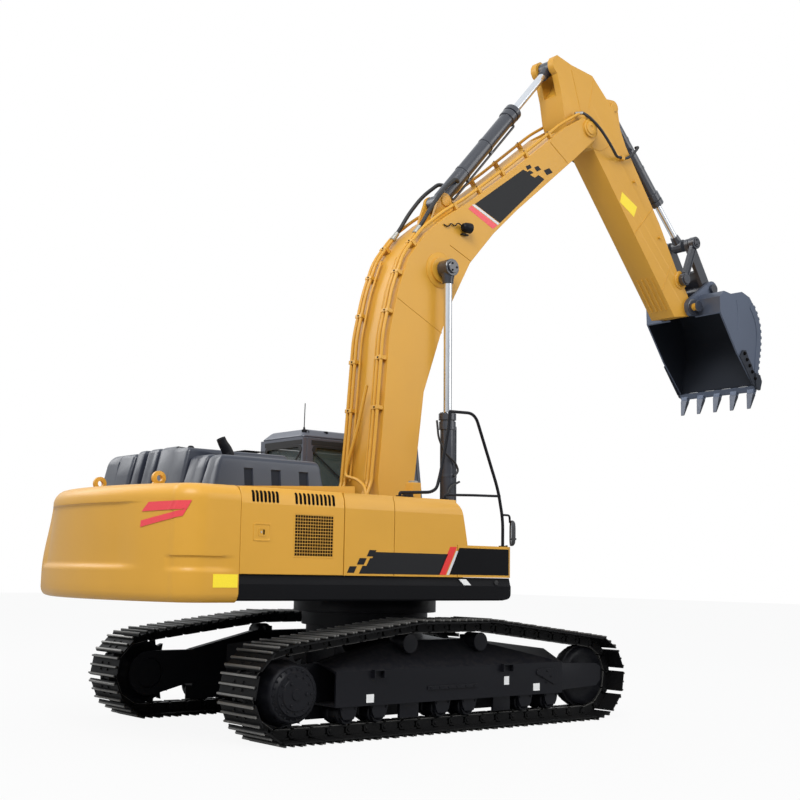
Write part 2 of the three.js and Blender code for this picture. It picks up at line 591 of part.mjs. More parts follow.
piece('cab_roof', hull([
  [CAB.back - 10, CAB.right, CAB.roof - 40], [CAB.front - 130, CAB.right, CAB.roof - 40],
  [CAB.back - 10, CAB.left, CAB.roof - 40], [CAB.front - 130, CAB.left, CAB.roof - 40],
  [CAB.back + 90, CAB.right + 100, 3165], [CAB.front - 330, CAB.right + 100, 3165],
  [CAB.back + 90, CAB.left - 100, 3165], [CAB.front - 330, CAB.left - 100, 3165]]), BLACK);
piece('windscreen', plate([[paneX(1991, 26), 1991], [paneX(1991, 20), 1991],
  [paneX(2989, 20), 2989], [paneX(2989, 26), 2989]], CAB.right + 71, CAB.left - 71), GLASS);
piece('rear_window', box(CAB.back + 24, CAB.back + 30, REAR_WINDOW.y0 + 1, REAR_WINDOW.y1 - 1,
  REAR_WINDOW.z0 + 1, REAR_WINDOW.z1 - 1), GLASS);
piece('right_window', plate(inset(RIGHT_WINDOW, 1), CAB.right + 24, CAB.right + 30), GLASS);

const DOOR_GLASS = [[-190, 2000], [830, 2000], [840, 2560], [780, 2920], [-190, 2920]];
piece('cab_door', plate(inset(DOORWAY, 6), CAB.left - WALL + 10, CAB.left + 8, [DOOR_GLASS]), BLACK);
piece('cab_door_glass', plate(inset(DOOR_GLASS, 1), CAB.left - 24, CAB.left - 18), GLASS);

const SEAT_Y = (CAB.right + CAB.left) / 2;
function seat() {
  const y = SEAT_Y;
  const cushion = box(60, 560, y - 240, y + 240, 1960, 2090);
  const back = hull([[-20, y - 230, 2060], [100, y - 230, 2060], [-20, y + 230, 2060],
    [100, y + 230, 2060], [-110, y - 200, 2600], [-20, y - 200, 2600], [-110, y + 200, 2600],
    [-20, y + 200, 2600]]);
  const head = hull([[-110, y - 130, 2590], [-40, y - 130, 2590], [-110, y + 130, 2590],
    [-40, y + 130, 2590], [-130, y - 120, 2780], [-60, y - 120, 2780], [-130, y + 120, 2780],
    [-60, y + 120, 2780]]);
  const base = box(80, 480, y - 180, y + 180, CAB.floor + 46, 1970);
  return join(cushion, back, head, base);
}
piece('operator_seat', seat(), FABRIC);
function controls() {
  const y = SEAT_Y;
  const arm = (side) => [box(60, 600, y + side * 290 - 40, y + side * 290 + 40, CAB.floor + 46, 2210),
    bar([560, y + side * 290, 2200], [590, y + side * 290, 2420], 22, 6)];
  return join(arm(1), arm(-1), box(-40, 78, y - 330, y + 330, CAB.floor + 46, 1640));
}
piece('control_console', controls(), BLACK);

// ---- rail and mirror on the right front ------------------------------------------------------

function handrail() {
  const y = -1400;
  const hoop = tube([[-60, y, 3222], [319, y, 3231], [662, y, 2441], [735, y, 2129],
    [735, y, TOOL_BOX_TOP - 45]], 17, { bend: 110 });
  const inner = tube([[-60, y, 3222], [-60, y, 2340], [-60, y, PANEL_TOP - 40]], 17, { bend: 80 });
  const rail = tube([[-686, y, PANEL_TOP + 4], [-686, y, 2395], [-60, y, 2380], [690, y, 2366]],
    14, { bend: 60 });
  const stay = tube([[720, y, 2180], [840, y, 2180], [845, y, 2080]], 12, { bend: 30 });
  const glassTurn = THREE.MathUtils.degToRad(36);    // from square behind towards the driver
  const mirror = hull([[-80, -20, 1850], [-88, -20, 2130], [-62, 25, 1860], [-70, 25, 2122]].flatMap(
    ([across, depth, z]) => [-across, across].map((w) => [
      845 + w * Math.sin(glassTurn) + depth * Math.cos(glassTurn),
      y - 34 + w * Math.cos(glassTurn) - depth * Math.sin(glassTurn), z])));
  return join(hoop, inner, rail, stay, mirror);
}
piece('handrail_right', cut(handrail(), box(-800, 40, -1500, -1300, 2200, PANEL_TOP + 1),
  box(40, 800, -1500, -1300, 1700, TOOL_BOX_TOP + 1)), BLACK);

// ---- boom -------------------------------------------------------------------------------------

const NOSE_SLOT = 570;           // room round the arm's root between the fork plates
const FORK_IN = 248;
const BOOM_BACK = [[-60, 2150], [-98, 2552], [-52, 3070], [26, 4192], [141, 4711], [283, 5108],
  [541, 5446], [854, 5702], [1226, 5956], [2010, 6569], [2857, 7270]];
const BOOM_FRONT = [[3097, 6938], [2013, 6007], [1616, 5635], [1235, 5205], [940, 4664],
  [778, 4260], [542, 3587], [423, 2583], [270, 2120]];

function lugPlates(outline, inner, outer) {
  return [plate(outline, inner, outer), plate(outline, -outer, -inner)];
}

function boom() {
  const foot = arc(BOOM_FOOT, 165, -25, -195, 8);
  const outline = [...BOOM_FRONT, ...foot, ...BOOM_BACK, ...arc(BOOM_NOSE, 165, 135, -50, 8)];
  const shell = plate(outline, -BOOM_HALF, BOOM_HALF);
  const hollow = [[2960, 6830], ...BOOM_FRONT.slice(1, -1), [350, 2330], [-75, 2330],
    ...BOOM_BACK.slice(1, -1), [2740, 7165]];
  const insideBox = plate(inset(hollow, 16), -BOOM_HALF + 14, BOOM_HALF - 14);
  const slot = plate([...arc(BOOM_NOSE, NOSE_SLOT, 130, 320, 12), [4100, 6900], [3700, 8000]],
    -FORK_IN, FORK_IN);
  const access = bar([2780, 0, 6930], [3300, 0, 7350], 110, 10);
  const bosses = [pin(LIFT_EYE, 150, -BOOM_HALF - 36, BOOM_HALF + 36, 20),
    pin(BOOM_NOSE, 120, -BOOM_HALF - 22, BOOM_HALF + 22, 18)];
  const [gx, gz] = ARM_CYL_BASE;
  const ear = [[gx - 190, gz - 330], [gx + 240, gz - 60], ...arc(ARM_CYL_BASE, 105, 0, 180, 8),
    [gx - 190, gz - 230]];
  const ears = lugPlates(ear, 104, 144);
  const pins = [pin(BOOM_NOSE, 62, -BOOM_HALF - 30, BOOM_HALF + 30),
    pin(ARM_CYL_BASE, 50, -156, 156)];
  const bore = pin(BOOM_FOOT, 68, -400, 400);
  const eyeRoom = pin(ARM_CYL_BASE, 122, -100, 100);
  return join(cut(join(cut(shell, insideBox), bosses, ears), slot, access, bore, eyeRoom), pins);
}
piece('boom', boom(), YELLOW);

// Hard pipes along the boom's back, tied by clamp bars.
function boomPipes() {
  const back = BOOM_BACK.slice(1);
  const lift = 62;
  const rise = back.map(([x, z], i) => {
    const a = back[Math.max(i - 1, 0)];
    const b = back[Math.min(i + 1, back.length - 1)];
    const span = Math.hypot(b[0] - a[0], b[1] - a[1]);
    return [x - ((b[1] - a[1]) / span) * lift, z + ((b[0] - a[0]) / span) * lift];
  });
  const run = (y, from, to) => tube(rise.slice(from, to).map(([x, z]) => [x, y, z]), 20,
    { steps: 0, sides: 6 });
  const clamp = (i) => {
    const [x, z] = rise[i];
    return bar([x, -295, z], [x, 295, z], 28, 6);
  };
  rise.push([3190, 7562]);
  const clamps = [1, 2, 4, 8].map(clamp);
  return join(run(-270, 0, 11), run(-205, 0, 6), run(205, 0, 6), run(270, 0, 11), clamps);
}
piece('boom_pipes', boomPipes(), YELLOW);

// ---- cylinders ----------------------------------------------------------------------------------

// A barrel with an eye at its base and an open bore, and its rod with an eye at the far pin.
// The piston stands where the rod can still come out by the travel named.
function ram(base, eye, { bore, wall, gland, rod, y, width, baseEye, rodEye, pinBore, travel }) {
  const span = Math.hypot(eye[0] - base[0], eye[1] - base[1]);
  const along = [(eye[0] - base[0]) / span, (eye[1] - base[1]) / span];
  const at = (distance) => [base[0] + along[0] * distance, y, base[1] + along[1] * distance];
  const shell = bar(at(baseEye * 0.6), at(gland), bore / 2 + wall);
  const head = bar(at(gland - 170), at(gland), bore / 2 + wall + 12);
  const barrel = cut(
    join(shell, head, pin(base, baseEye, y - width / 2, y + width / 2)),
    bar(at(baseEye + 90), at(gland - 120), bore / 2),
    bar(at(gland - 130), at(gland + 10), rod / 2 + 3),
    pin(base, pinBore, y - width, y + width));
  const crownFace = gland - 145 - travel;
  const piston = bar(at(crownFace - 100), at(crownFace), bore / 2 - 3);
  const shaft = bar(at(crownFace - 50), at(span - rodEye * 0.7), rod / 2);
  const end = cut(pin(eye, rodEye, y - width / 2, y + width / 2),
    pin(eye, rodEye * 0.5, y - width, y + width, 12));
  return { barrel, rod: join(piston, shaft, end) };
}

const lift = ram(LIFT_BASE, LIFT_EYE, {
  bore: 130, wall: 17, gland: 1850, rod: 95, y: LIFT_Y, width: 164, baseEye: 105, rodEye: 100,
  pinBore: 53, travel: 27,
});
pair('boom_cylinder', lift.barrel, BLACK);
pair('boom_rod', lift.rod, CHROME);

const armRam = ram(ARM_CYL_BASE, ARM_CYL_EYE, {
  bore: 150, wall: 20, gland: 1949, rod: 105, y: 0, width: 192, baseEye: 98, rodEye: 98,
  pinBore: 55, travel: 585,
});
piece('arm_cylinder', armRam.barrel, BLACK);
piece('arm_rod', armRam.rod, CHROME);

const HOSE_PORT_Y = 131;
const bucketRam = ram(BUCKET_CYL_BASE, LINK_PIN, {
  bore: 135, wall: 18, gland: 1560, rod: 92, y: 0, width: 172, baseEye: 88, rodEye: 88,
  pinBore: 50, travel: 859,
});
const PORT = [4480, 7432];
const ports = pin(PORT, 26, -HOSE_PORT_Y, HOSE_PORT_Y, 8);
piece('bucket_cylinder', cut(join(bucketRam.barrel, ports),
  bar([4205, 0, 7717], [5050, 0, 6834], 67, 14)), BLACK);
piece('bucket_rod', bucketRam.rod, CHROME);

// ---- arm ------------------------------------------------------------------------------------------

const ARM_TOP = [[3112, 8232], [3527, 8192], [3977, 7803], [4204, 7365], [4906, 6418], [5278, 5808]];
const ARM_UNDER = [[5211, 5148], [4423, 6114], [3546, 7175], [3085, 7230],
  [2985, 7480], [2935, 7760]];

function arm() {
  const tip = [[5570, 5420], ...arc(BUCKET_PIN, 118, 10, -75, 5)];
  const outline = [...ARM_TOP, ...tip, ...ARM_UNDER, ...arc(ARM_CYL_EYE, 130, 250, 110, 5)];
  const shell = plate(outline, -ARM_HALF, ARM_HALF);
  const hollow = [[3130, 8200], [3520, 8172], [3955, 7793], ...ARM_TOP.slice(3), [5330, 5620],
    [5080, 5420], [4423, 6114], [3780, 6920], [3560, 7560], [3200, 7620]];
  const insideBox = plate(inset(hollow, 18), -ARM_HALF + 16, ARM_HALF - 16);
  const rodRoom = plate([[2500, 7750], [2950, 7790], [3105, 8060], [3105, 8500], [2500, 8500]],
    -106, 106);
  const pinHub = pin(BOOM_NOSE, 130, -ARM_HALF - 12, ARM_HALF + 12, 24);
  const [kx, kz] = BUCKET_CYL_BASE;
  const ear = [[kx - 330, kz + 60], ...arc(BUCKET_CYL_BASE, 100, 100, -20, 6), [kx + 190, kz - 560],
    [kx - 120, kz - 260]];
  const ears = lugPlates(ear, 92, 132);
  const clips = [-1, 1].map((side) => box(4050, 4110, side * 232 - 33, side * 232 + 33, 7140, 7196));
  const bosses = [pin(ROCKER_PIN, 95, -ARM_HALF - 30, ARM_HALF + 30, 20),
    pin(BUCKET_PIN, 118, -ARM_HALF - 10, ARM_HALF + 10, 20)];
  const pins = [pin(BUCKET_CYL_BASE, 45, -144, 144), pin(ROCKER_PIN, 48, -312, 312),
    pin(BUCKET_PIN, 52, -372, 372)];
  const access = bar([3000, 0, 8060], [3500, 0, 7950], 80, 10);
  const bore = pin(BOOM_NOSE, 68, -400, 400);
  const eyeRoom = pin(BUCKET_CYL_BASE, 110, -88, 88);
  return join(cut(join(cut(shell, insideBox), pinHub, ears, bosses), rodRoom, access, bore, eyeRoom),
    pins, clips);
}
piece('arm', arm(), YELLOW);

// ---- bucket and its linkage -------------------------------------------------------------------------

// A flat bar with round ends from one pin to the other.
function strapOutline(a, b, half) {
  const degrees = THREE.MathUtils.radToDeg(Math.atan2(b[1] - a[1], b[0] - a[0]));
  return [...arc(a, half, degrees + 90, degrees + 270), ...arc(b, half, degrees - 90, degrees + 90)];
}

function rocker() {
  const [y0, y1] = [ARM_HALF + 36, ARM_HALF + 92];
  const hubs = [pin(ROCKER_PIN, 90, y0, y1 + 14, 16), pin(LINK_PIN, 90, ARM_HALF + RUNNING, y1 + 14, 16)];
  return cut(join(plate(strapOutline(ROCKER_PIN, LINK_PIN, 60), y0, y1), hubs),
    pin(ROCKER_PIN, 53, y0 - 20, y1 + 30));
}
pair('rocker', rocker(), BLACK);

function bucketLink() {
  const [y0, y1] = [140, 200];
  const cheeks = lugPlates(strapOutline(LINK_PIN, BUCKET_LINK_PIN, 82), y0, y1);
  const along = (share) => LINK_PIN.map((value, i) => value * (1 - share) + BUCKET_LINK_PIN[i] * share);
  const web = plate(strapOutline(along(0.6), along(0.85), 38), -y0 - 5, y0 + 5);
  const foot = pin(BUCKET_LINK_PIN, 88, -y1, y1, 18);
  return cut(join(cheeks, web, foot), pin(BUCKET_LINK_PIN, 54, -300, 300));
}
piece('bucket_link', bucketLink(), BLACK);

const BUCKET_BACK = [[5645, 5440], [5741, 5530], [5900, 5512], [6163, 5580], [6345, 5525],
  [6480, 5372], [6568, 5215], [6598, 5015], [6575, 4800], [6528, 4585], [6494, 4380]];
const LIP = [6452, 4290];
const LIP_RUN = [-88, -310];     // the way the lip plate points
const LIP_EDGE = [6405, 4262];
const CURL = 126;                // the arm's tip is let into the bucket at full curl

function bucket() {
  const mouth = [LIP_EDGE, [6016, 4696], [5652, 5215]];
  const shell = plate([...BUCKET_BACK, [6478, 4290], ...mouth], -BUCKET_HALF, BUCKET_HALF);
  const inner = [[5600, 5120], [5690, 5235], [5810, 5375], [5960, 5450], [6155, 5515], [6310, 5465],
    [6435, 5335], [6515, 5195], [6546, 5012], [6524, 4810], [6478, 4592], [6440, 4300], [6380, 4200],
    [5700, 4300], [5400, 4900]];
  const inside = plate(inner, -BUCKET_HALF + 26, BUCKET_HALF - 26);
  const earShape = [...arc(BUCKET_PIN, 128, 130, 300, 8), [5700, 5420], [6180, 5500],
    ...arc(BUCKET_LINK_PIN, 118, -20, 130, 6)];
  const ears = lugPlates(earShape, ARM_HALF + 18, ARM_HALF + 74);
  const linkPin = pin(BUCKET_LINK_PIN, 48, -ARM_HALF - 100, ARM_HALF + 100);
  const room = [-ARM_HALF - 18, ARM_HALF + 18];
  const curled = (points) => points.map(([x, z]) => new THREE.Vector2(x, z)
    .rotateAround(new THREE.Vector2(...BUCKET_PIN), THREE.MathUtils.degToRad(CURL)).toArray());
  const armTip = [[5570, 5430], ...arc(BUCKET_PIN, 128, 10, -75, 5), [5206, 5134], [4413, 6106]];
  const clearance = join(pin(BUCKET_PIN, 172, ...room, 20), plate(curled(armTip), ...room));
  const body = cut(join(cut(shell, inside), ears), clearance,
    pin(BUCKET_PIN, 57, -500, 500));
  return join(body, linkPin);
}
piece('bucket', bucket(), BUCKET_STEEL);

function lip() {
  const span = Math.hypot(...LIP_RUN);
  const down = [LIP_RUN[0] / span, LIP_RUN[1] / span];
  const edge = [LIP[0] + 20, LIP[1] - GAP * 6];
  const at = (along, side) => [edge[0] + down[0] * along - down[1] * side,
    edge[1] + down[1] * along + down[0] * side];
  const blade = plate([[6400, 4255], [6490, 4283], at(110, 18), at(110, -14)], -BUCKET_HALF, BUCKET_HALF);
  const tooth = (y) => {
    const adapter = hull([[0, 38, 60], [0, -36, 60], [150, 34, 50], [150, -30, 50]].flatMap(
      ([along, side, half]) => {
        const [x, z] = at(along, side);
        return [[x, y - half, z], [x, y + half, z]];
      }));
    const point = hull([[130, 32, 52], [130, -30, 52], [370, 6, 30], [370, -8, 30]].flatMap(
      ([along, side, half]) => {
        const [x, z] = at(along, side);
        return [[x, y - half, z], [x, y + half, z]];
      }));
    return [adapter, point];
  };
  return cut(join(blade, [-576, -288, 0, 288, 576].map(tooth).flat()),
    plate([[5900, 4290 + 500], [6900, 4290 + 500], [6900, 4286], [6200, 4246]], -700, 700));
}
piece('bucket_lip', lip(), BUCKET_STEEL);

// ---- hoses ---------------------------------------------------------------------------------------------

const HOSE_RADIUS = 19;
const KNEE_ROUTE = [[499, 205, 5493], [570, 205, 5590], [700, 205, 5800], [900, 190, 6060],
  [1120, 150, 6250], [1200, 116, 6240]];
const NOSE_ROUTE = [[3194, 270, 7565], [3250, 288, 7603], [3330, 356, 7580], [3440, 368, 7460],
  [3570, 366, 7335], [3760, 325, 7225], [3930, 262, 7175], [3990, 246, 7168], [4046, 246, 7168]];
const ARM_ROUTE = [[4114, 246, 7168], [4180, 246, 7172], [4350, 235, 7290], [4440, 205, 7395],
  [4480, 190, 7432], [4480, HOSE_PORT_Y + 3, 7432]];
const hose = (route, bend) => tube(route, HOSE_RADIUS, { bend, sides: 8 });
pair('knee_hose', hose(KNEE_ROUTE, 130), RUBBER);
pair('nose_hose', hose(NOSE_ROUTE, 80), RUBBER);
pair('arm_hose', hose(ARM_ROUTE, 50), RUBBER);

// ---- placing --------------------------------------------------------------------------------------------

const reach = new THREE.Box3().setFromObject(machine);
machine.position.x = -(reach.min.x + reach.max.x) / 2;
machine.updateMatrixWorld(true);

export default machine;
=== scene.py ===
"""Crawler excavator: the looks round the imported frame.

Metres, with +X forward, +Y to the driver's left and +Z up.
"""

import json
import math
from collections import namedtuple

import bmesh
import bpy
from bpy.props import FloatProperty, FloatVectorProperty, IntProperty, PointerProperty
from mathutils import Matrix, Vector

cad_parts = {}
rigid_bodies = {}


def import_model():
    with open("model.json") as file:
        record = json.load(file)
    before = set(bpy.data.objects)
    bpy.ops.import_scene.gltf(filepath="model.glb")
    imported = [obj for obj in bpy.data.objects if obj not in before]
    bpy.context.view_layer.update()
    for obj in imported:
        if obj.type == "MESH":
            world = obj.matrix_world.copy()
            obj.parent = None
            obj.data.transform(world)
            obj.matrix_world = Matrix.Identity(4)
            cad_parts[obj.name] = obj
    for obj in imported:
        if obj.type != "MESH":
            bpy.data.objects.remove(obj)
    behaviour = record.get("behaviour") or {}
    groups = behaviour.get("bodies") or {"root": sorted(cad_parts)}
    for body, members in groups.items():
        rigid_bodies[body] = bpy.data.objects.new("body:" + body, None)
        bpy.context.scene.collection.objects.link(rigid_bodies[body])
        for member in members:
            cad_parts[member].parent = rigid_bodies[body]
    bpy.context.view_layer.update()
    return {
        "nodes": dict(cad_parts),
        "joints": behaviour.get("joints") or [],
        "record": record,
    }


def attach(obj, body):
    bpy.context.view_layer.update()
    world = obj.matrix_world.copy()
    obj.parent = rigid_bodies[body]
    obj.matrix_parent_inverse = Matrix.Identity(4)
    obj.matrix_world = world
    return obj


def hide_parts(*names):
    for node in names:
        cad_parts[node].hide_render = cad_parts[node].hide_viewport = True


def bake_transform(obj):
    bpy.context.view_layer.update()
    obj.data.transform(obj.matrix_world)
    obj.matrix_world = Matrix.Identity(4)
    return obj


bl_info = {
    "name": "Crawler excavator",
    "version": (1, 0, 0),
    "blender": (4, 5, 0),
    "location": "View3D > Sidebar > Excavator",
    "description": "Builds the visible pieces of a crawler excavator round its frame",
    "category": "Add Mesh",
}

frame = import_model()
PIVOT = {j["name"]: Vector(j["pos_m"]) for j in frame["joints"] if "pos_m" in j}
SHIFT = Vector((PIVOT["slew"].x, 0, 0))  # drawings below are made round the slewing axis

# Pins of the digging linkage, (x, z) from the slewing axis on the ground
BOOM_FOOT = (0.1, 2.05)
BOOM_NOSE = (3.344, 7.385)
LIFT_BASE = (0.8, 1.5)
LIFT_EYE = (0.762, 5.035)
ARM_CYL_BASE = (0.975, 5.945)
ARM_CYL_EYE = (2.89, 8.17)
BUCKET_CYL_BASE = (4.03, 7.9)
ROCKER_PIN = (5.35, 5.69)
LINK_PIN = (5.6, 6.26)
BUCKET_LINK_PIN = (5.99, 5.65)
BUCKET_PIN = (5.53, 5.32)
LIFT_Y = 0.448
HALF_WIDTH = 1.49
RIGHT, LEFT = -1, 1
SIDES = ((LEFT, "left"), (RIGHT, "right"))
AHEAD, ACROSS, UP = (1, 0, 0), (0, 1, 0), (0, 0, 1)
TANK_TOP = 2.296
PIPE = 0.0195       # radius of the steel lines
PROUD = 0.0018      # how far a painted mark stands off its panel
SOFT_ANGLE = 34     # edges that turn further, in degrees, stay sharp
BEVEL_ANGLE = 32    # and those that turn further than this are eased


# ---- settings -------------------------------------------------------------------------------


def colour(name, value, text):
    return FloatVectorProperty(
        name=name, description=text, default=value, subtype="COLOR", size=3, min=0, max=1
    )


class PaintSettings(bpy.types.PropertyGroup):
    yellow: colour("Yellow", (0.585, 0.298, 0.0335), "Paint of the house, boom and arm")
    black: colour("Black", (0.0065, 0.0067, 0.009), "Paint of the frames, skirts and tool box")
    gloss: colour("Gloss black", (0.024, 0.027, 0.037), "Paint of the cylinders and linkage")
    cab: colour("Cab", (0.072, 0.079, 0.104), "Paint of the cab's shell")
    hood: colour("Hood", (0.023, 0.028, 0.043), "Moulded skin of the engine hood")
    track: colour("Track", (0.0022, 0.0022, 0.0026), "Blackened steel of the tracks")
    bucket: colour("Bucket", (0.098, 0.118, 0.165), "Paint of the bucket")
    red: colour("Red", (0.72, 0.05, 0.065), "Stripes")


class TrackSettings(bpy.types.PropertyGroup):
    shoes: IntProperty(name="Shoes", description="Shoes in one track", default=48, min=20)
    width: FloatProperty(name="Shoe width", description="Across the track",
                         default=0.6, unit="LENGTH")
    gauge: FloatProperty(name="Gauge", description="Between the tracks' middles",
                         default=2.59, unit="LENGTH")


class TrimSettings(bpy.types.PropertyGroup):
    edge: FloatProperty(name="Edge", description="Rounding of plate edges",
                        default=0.006, unit="LENGTH")
    hose: FloatProperty(name="Hose", description="Radius of the hydraulic hoses",
                        default=0.019, unit="LENGTH")


# ---- finishes -------------------------------------------------------------------------------


class Wire:
    """A shader socket that can be written into sums and products."""

    def __init__(self, owner, socket):
        self.owner, self.socket = owner, socket

    def maths(self, kind, first, second):
        return self.owner.out(
            self.owner.node("ShaderNodeMath", {"operation": kind}, {0: first, 1: second}))

    def __add__(self, other):
        return self.maths("ADD", self, other)

    def __sub__(self, other):
        return self.maths("SUBTRACT", self, other)

    def __rsub__(self, other):
        return self.maths("SUBTRACT", other, self)

    def __mul__(self, other):
        return self.maths("MULTIPLY", self, other)

    __radd__, __rmul__ = __add__, __mul__

    def above(self, edge, soft=0.02):
        """0 below the edge and 1 above it, with a soft step between."""
        return self.owner.out(self.owner.node(
            "ShaderNodeMapRange", {"interpolation_type": "SMOOTHSTEP"},
            {0: self, 1: edge - soft, 2: edge + soft}))


class Nodes:
    """A shader's node tree, filled a node at a time."""

    def __init__(self, tree):
        self.tree = tree

    def feed(self, socket, value):
        if isinstance(value, Wire):
            self.tree.links.new(value.socket, socket)
        else:
            socket.default_value = value

    def node(self, kind, settings=None, inputs=None):
        node = self.tree.nodes.new(kind)
        for key, value in (settings or {}).items():
            setattr(node, key, value)
        for key, value in (inputs or {}).items():
            self.feed(node.inputs[key], value)
        return node

    def out(self, node, name=0):
        return Wire(self, node.outputs[name])


class Finish(Nodes):
    """One procedural material."""

    def __init__(self, name):
        self.material = bpy.data.materials.new(name)
        self.material.use_nodes = True
        super().__init__(self.material.node_tree)
        self.shader = self.tree.nodes["Principled BSDF"]
        self.place = self.out(self.node("ShaderNodeTexCoord"), "Object")

    def noise(self, scale, detail=3.0, rough=0.5, stretch=(1, 1, 1)):
        moved = self.node("ShaderNodeMapping", None, {"Vector": self.place, "Scale": stretch})
        return self.out(self.node("ShaderNodeTexNoise", None, {
            "Vector": self.out(moved), "Scale": scale, "Detail": detail, "Roughness": rough}))

    def axis(self, index):
        return self.out(self.node("ShaderNodeSeparateXYZ", None, {0: self.place}), index)

    def facing_up(self):
        normal = self.out(self.node("ShaderNodeNewGeometry"), "Normal")
        return self.out(self.node("ShaderNodeSeparateXYZ", None, {0: normal}), 2)

    def mark(self, name):
        """A value stored on the mesh's points."""
        return self.out(self.node("ShaderNodeAttribute", {"attribute_name": name}), "Fac")

    def mix(self, share, first, second):
        node = self.node("ShaderNodeMix", {"data_type": "RGBA"}, {0: share})
        self.feed(node.inputs[6], first if isinstance(first, Wire) else (*first, 1))
        self.feed(node.inputs[7], second if isinstance(second, Wire) else (*second, 1))
        return self.out(node, 2)

    def bump(self, height, strength, distance):
        node = self.node("ShaderNodeBump", None, {
            "Height": height, "Strength": strength, "Distance": distance})
        self.feed(self.shader.inputs["Normal"], self.out(node))

    def set(self, **values):
        for key, value in values.items():
            socket = self.shader.inputs[key.replace("_", " ")]
            if not isinstance(value, Wire) and hasattr(value, "__len__") and len(value) == 3:
                value = (*value, 1)
            self.feed(socket, value)
        return self.material


FINISH = {}


def shade(base, factor):
    return tuple(min(1.0, c * factor) for c in base)


def paint(name, base, gloss, dusty=0.25, shine=0.5, coat=0.0, metal=0.0):
    """Sprayed paint: small changes of tone, a fine skin, and dust on what faces up."""
    f = Finish(name)
    cloud = f.noise(1.3, 4)
    grain = f.noise(22, 3)
    body = f.mix(cloud, shade(base, 0.92), shade(base, 1.08))
    settled = f.facing_up().above(0.75, 0.25) * grain.above(0.52, 0.2) * dusty
    tone = f.mix(settled, body, (0.3, 0.25, 0.19))
    f.bump(grain, 0.03, 0.001)
    rough = cloud * 0.12 + grain * 0.06 + (gloss - 0.09) + settled * 0.3
    FINISH[name] = f.set(Base_Color=tone, Roughness=rough, Coat_Weight=coat,
                         Coat_Roughness=0.18, Specular_IOR_Level=shine, Metallic=metal)


def steel(name, base, worn, rough, earth=0.0, metal=0.55):
    """Dark steel whose marked points are worn bright."""
    f = Finish(name)
    patch = f.noise(9, 4, 0.6)
    fine = f.noise(90, 3, 0.6)
    tone = f.mix(patch, shade(base, 0.75), shade(base, 1.35))
    soil = (f.noise(5, 5, 0.65) - f.axis(2) * 0.25).above(0.52, 0.12) * earth
    tone = f.mix(soil, tone, (0.085, 0.068, 0.052))
    bright = f.mark("worn").above(0.7, 0.25) * (patch * 0.7 + 0.5).above(0.62, 0.22)
    tone = f.mix(bright, tone, worn)
    f.bump(fine * 0.6 + patch * 0.6, 0.18, 0.004)
    FINISH[name] = f.set(Base_Color=tone, Roughness=fine * 0.22 + rough - bright * 0.18,
                         Metallic=bright * 0.4 + metal, Specular_IOR_Level=0.25)


def plain(name, base, rough, metal=0.0, grain_scale=120, depth=0.08, coat=0.0, shine=0.5):
    f = Finish(name)
    grain = f.noise(grain_scale, 3)
    tone = f.mix(grain, shade(base, 0.88), shade(base, 1.12))
    f.bump(grain, depth, 0.001)
    FINISH[name] = f.set(Base_Color=tone, Roughness=grain * 0.1 + rough, Metallic=metal,
                         Coat_Weight=coat, Specular_IOR_Level=shine)


def glass(name, alpha):
    f = Finish(name)
    streak = f.noise(2.5, 2)
    FINISH[name] = f.set(
        Base_Color=f.mix(streak, (0.05, 0.075, 0.075), (0.08, 0.11, 0.105)), Roughness=0.04,
        IOR=1.45, Alpha=streak * 0.06 + alpha, Coat_Weight=0.5, Coat_Roughness=0.03)


def fabric():
    f = Finish("seat_cloth")
    weave = f.node("ShaderNodeTexWave", {"bands_direction": "DIAGONAL"},
                   {"Vector": f.place, "Scale": 90, "Distortion": 1.2})
    thread = f.out(weave, 1)
    f.bump(thread, 0.4, 0.002)
    FINISH["seat_cloth"] = f.set(
        Base_Color=f.mix(thread, (0.018, 0.019, 0.022), (0.04, 0.042, 0.046)),
        Roughness=0.9, Sheen_Weight=0.3)


def chrome():
    f = Finish("rod_chrome")
    film = f.noise(14, 4, 0.6, (1, 1, 0.3))
    FINISH["rod_chrome"] = f.set(
        Base_Color=f.mix(film, (0.7, 0.72, 0.76), (0.84, 0.86, 0.89)),
        Metallic=0.92, Roughness=film * 0.1 + 0.1)


# ---- shapes ---------------------------------------------------------------------------------


def arc(centre, radius, start, end, steps=8):
    turns = (math.radians(start + (end - start) * i / steps) for i in range(steps + 1))
    return [(centre[0] + radius * math.cos(t), centre[1] + radius * math.sin(t)) for t in turns]


def hoop(centre, one, two, radius, sides):
    """Points of a circle in the plane of two square directions."""
    return [centre + (one * math.cos(t) + two * math.sin(t)) * radius
            for t in (2 * math.pi * k / sides for k in range(sides))]


def rect(x0, x1, z0, z1):
    """Corners of a rectangle, in turn."""
    return [(x0, z0), (x1, z0), (x1, z1), (x0, z1)]


def rounded(points, radius, steps=4):
    """An outline or a route with its corners turned into arcs. A closed one repeats its start."""
    points = [Vector(p) for p in points]
    out = [points[0]]
    for before, corner, after in zip(points, points[1:], points[2:]):
        one, two = before - corner, after - corner
        reach = min(radius, one.length * 0.48, two.length * 0.48)
        a, b = corner + one.normalized() * reach, corner + two.normalized() * reach
        for i in range(steps + 1):
            t = i / steps
            out.append(a * (1 - t) ** 2 + corner * (2 * t * (1 - t)) + b * t * t)
    return out + [points[-1]]


def strap(a, b, half, other=None, steps=10):
    """Outline of a bar with round ends from one (x, z) pin to another."""
    lean = math.degrees(math.atan2(b[1] - a[1], b[0] - a[0]))
    return (arc(a, half, lean + 90, lean + 270, steps)
            + arc(b, other or half, lean - 90, lean + 90, steps))


def between(a, b, share, side=0.0):
    """A point part of the way from a to b, and to the left of that line by side."""
    along = Vector(b) - Vector(a)
    across = Vector((-along.y, along.x)).normalized() * side
    return tuple(Vector(a) + along * share + across)


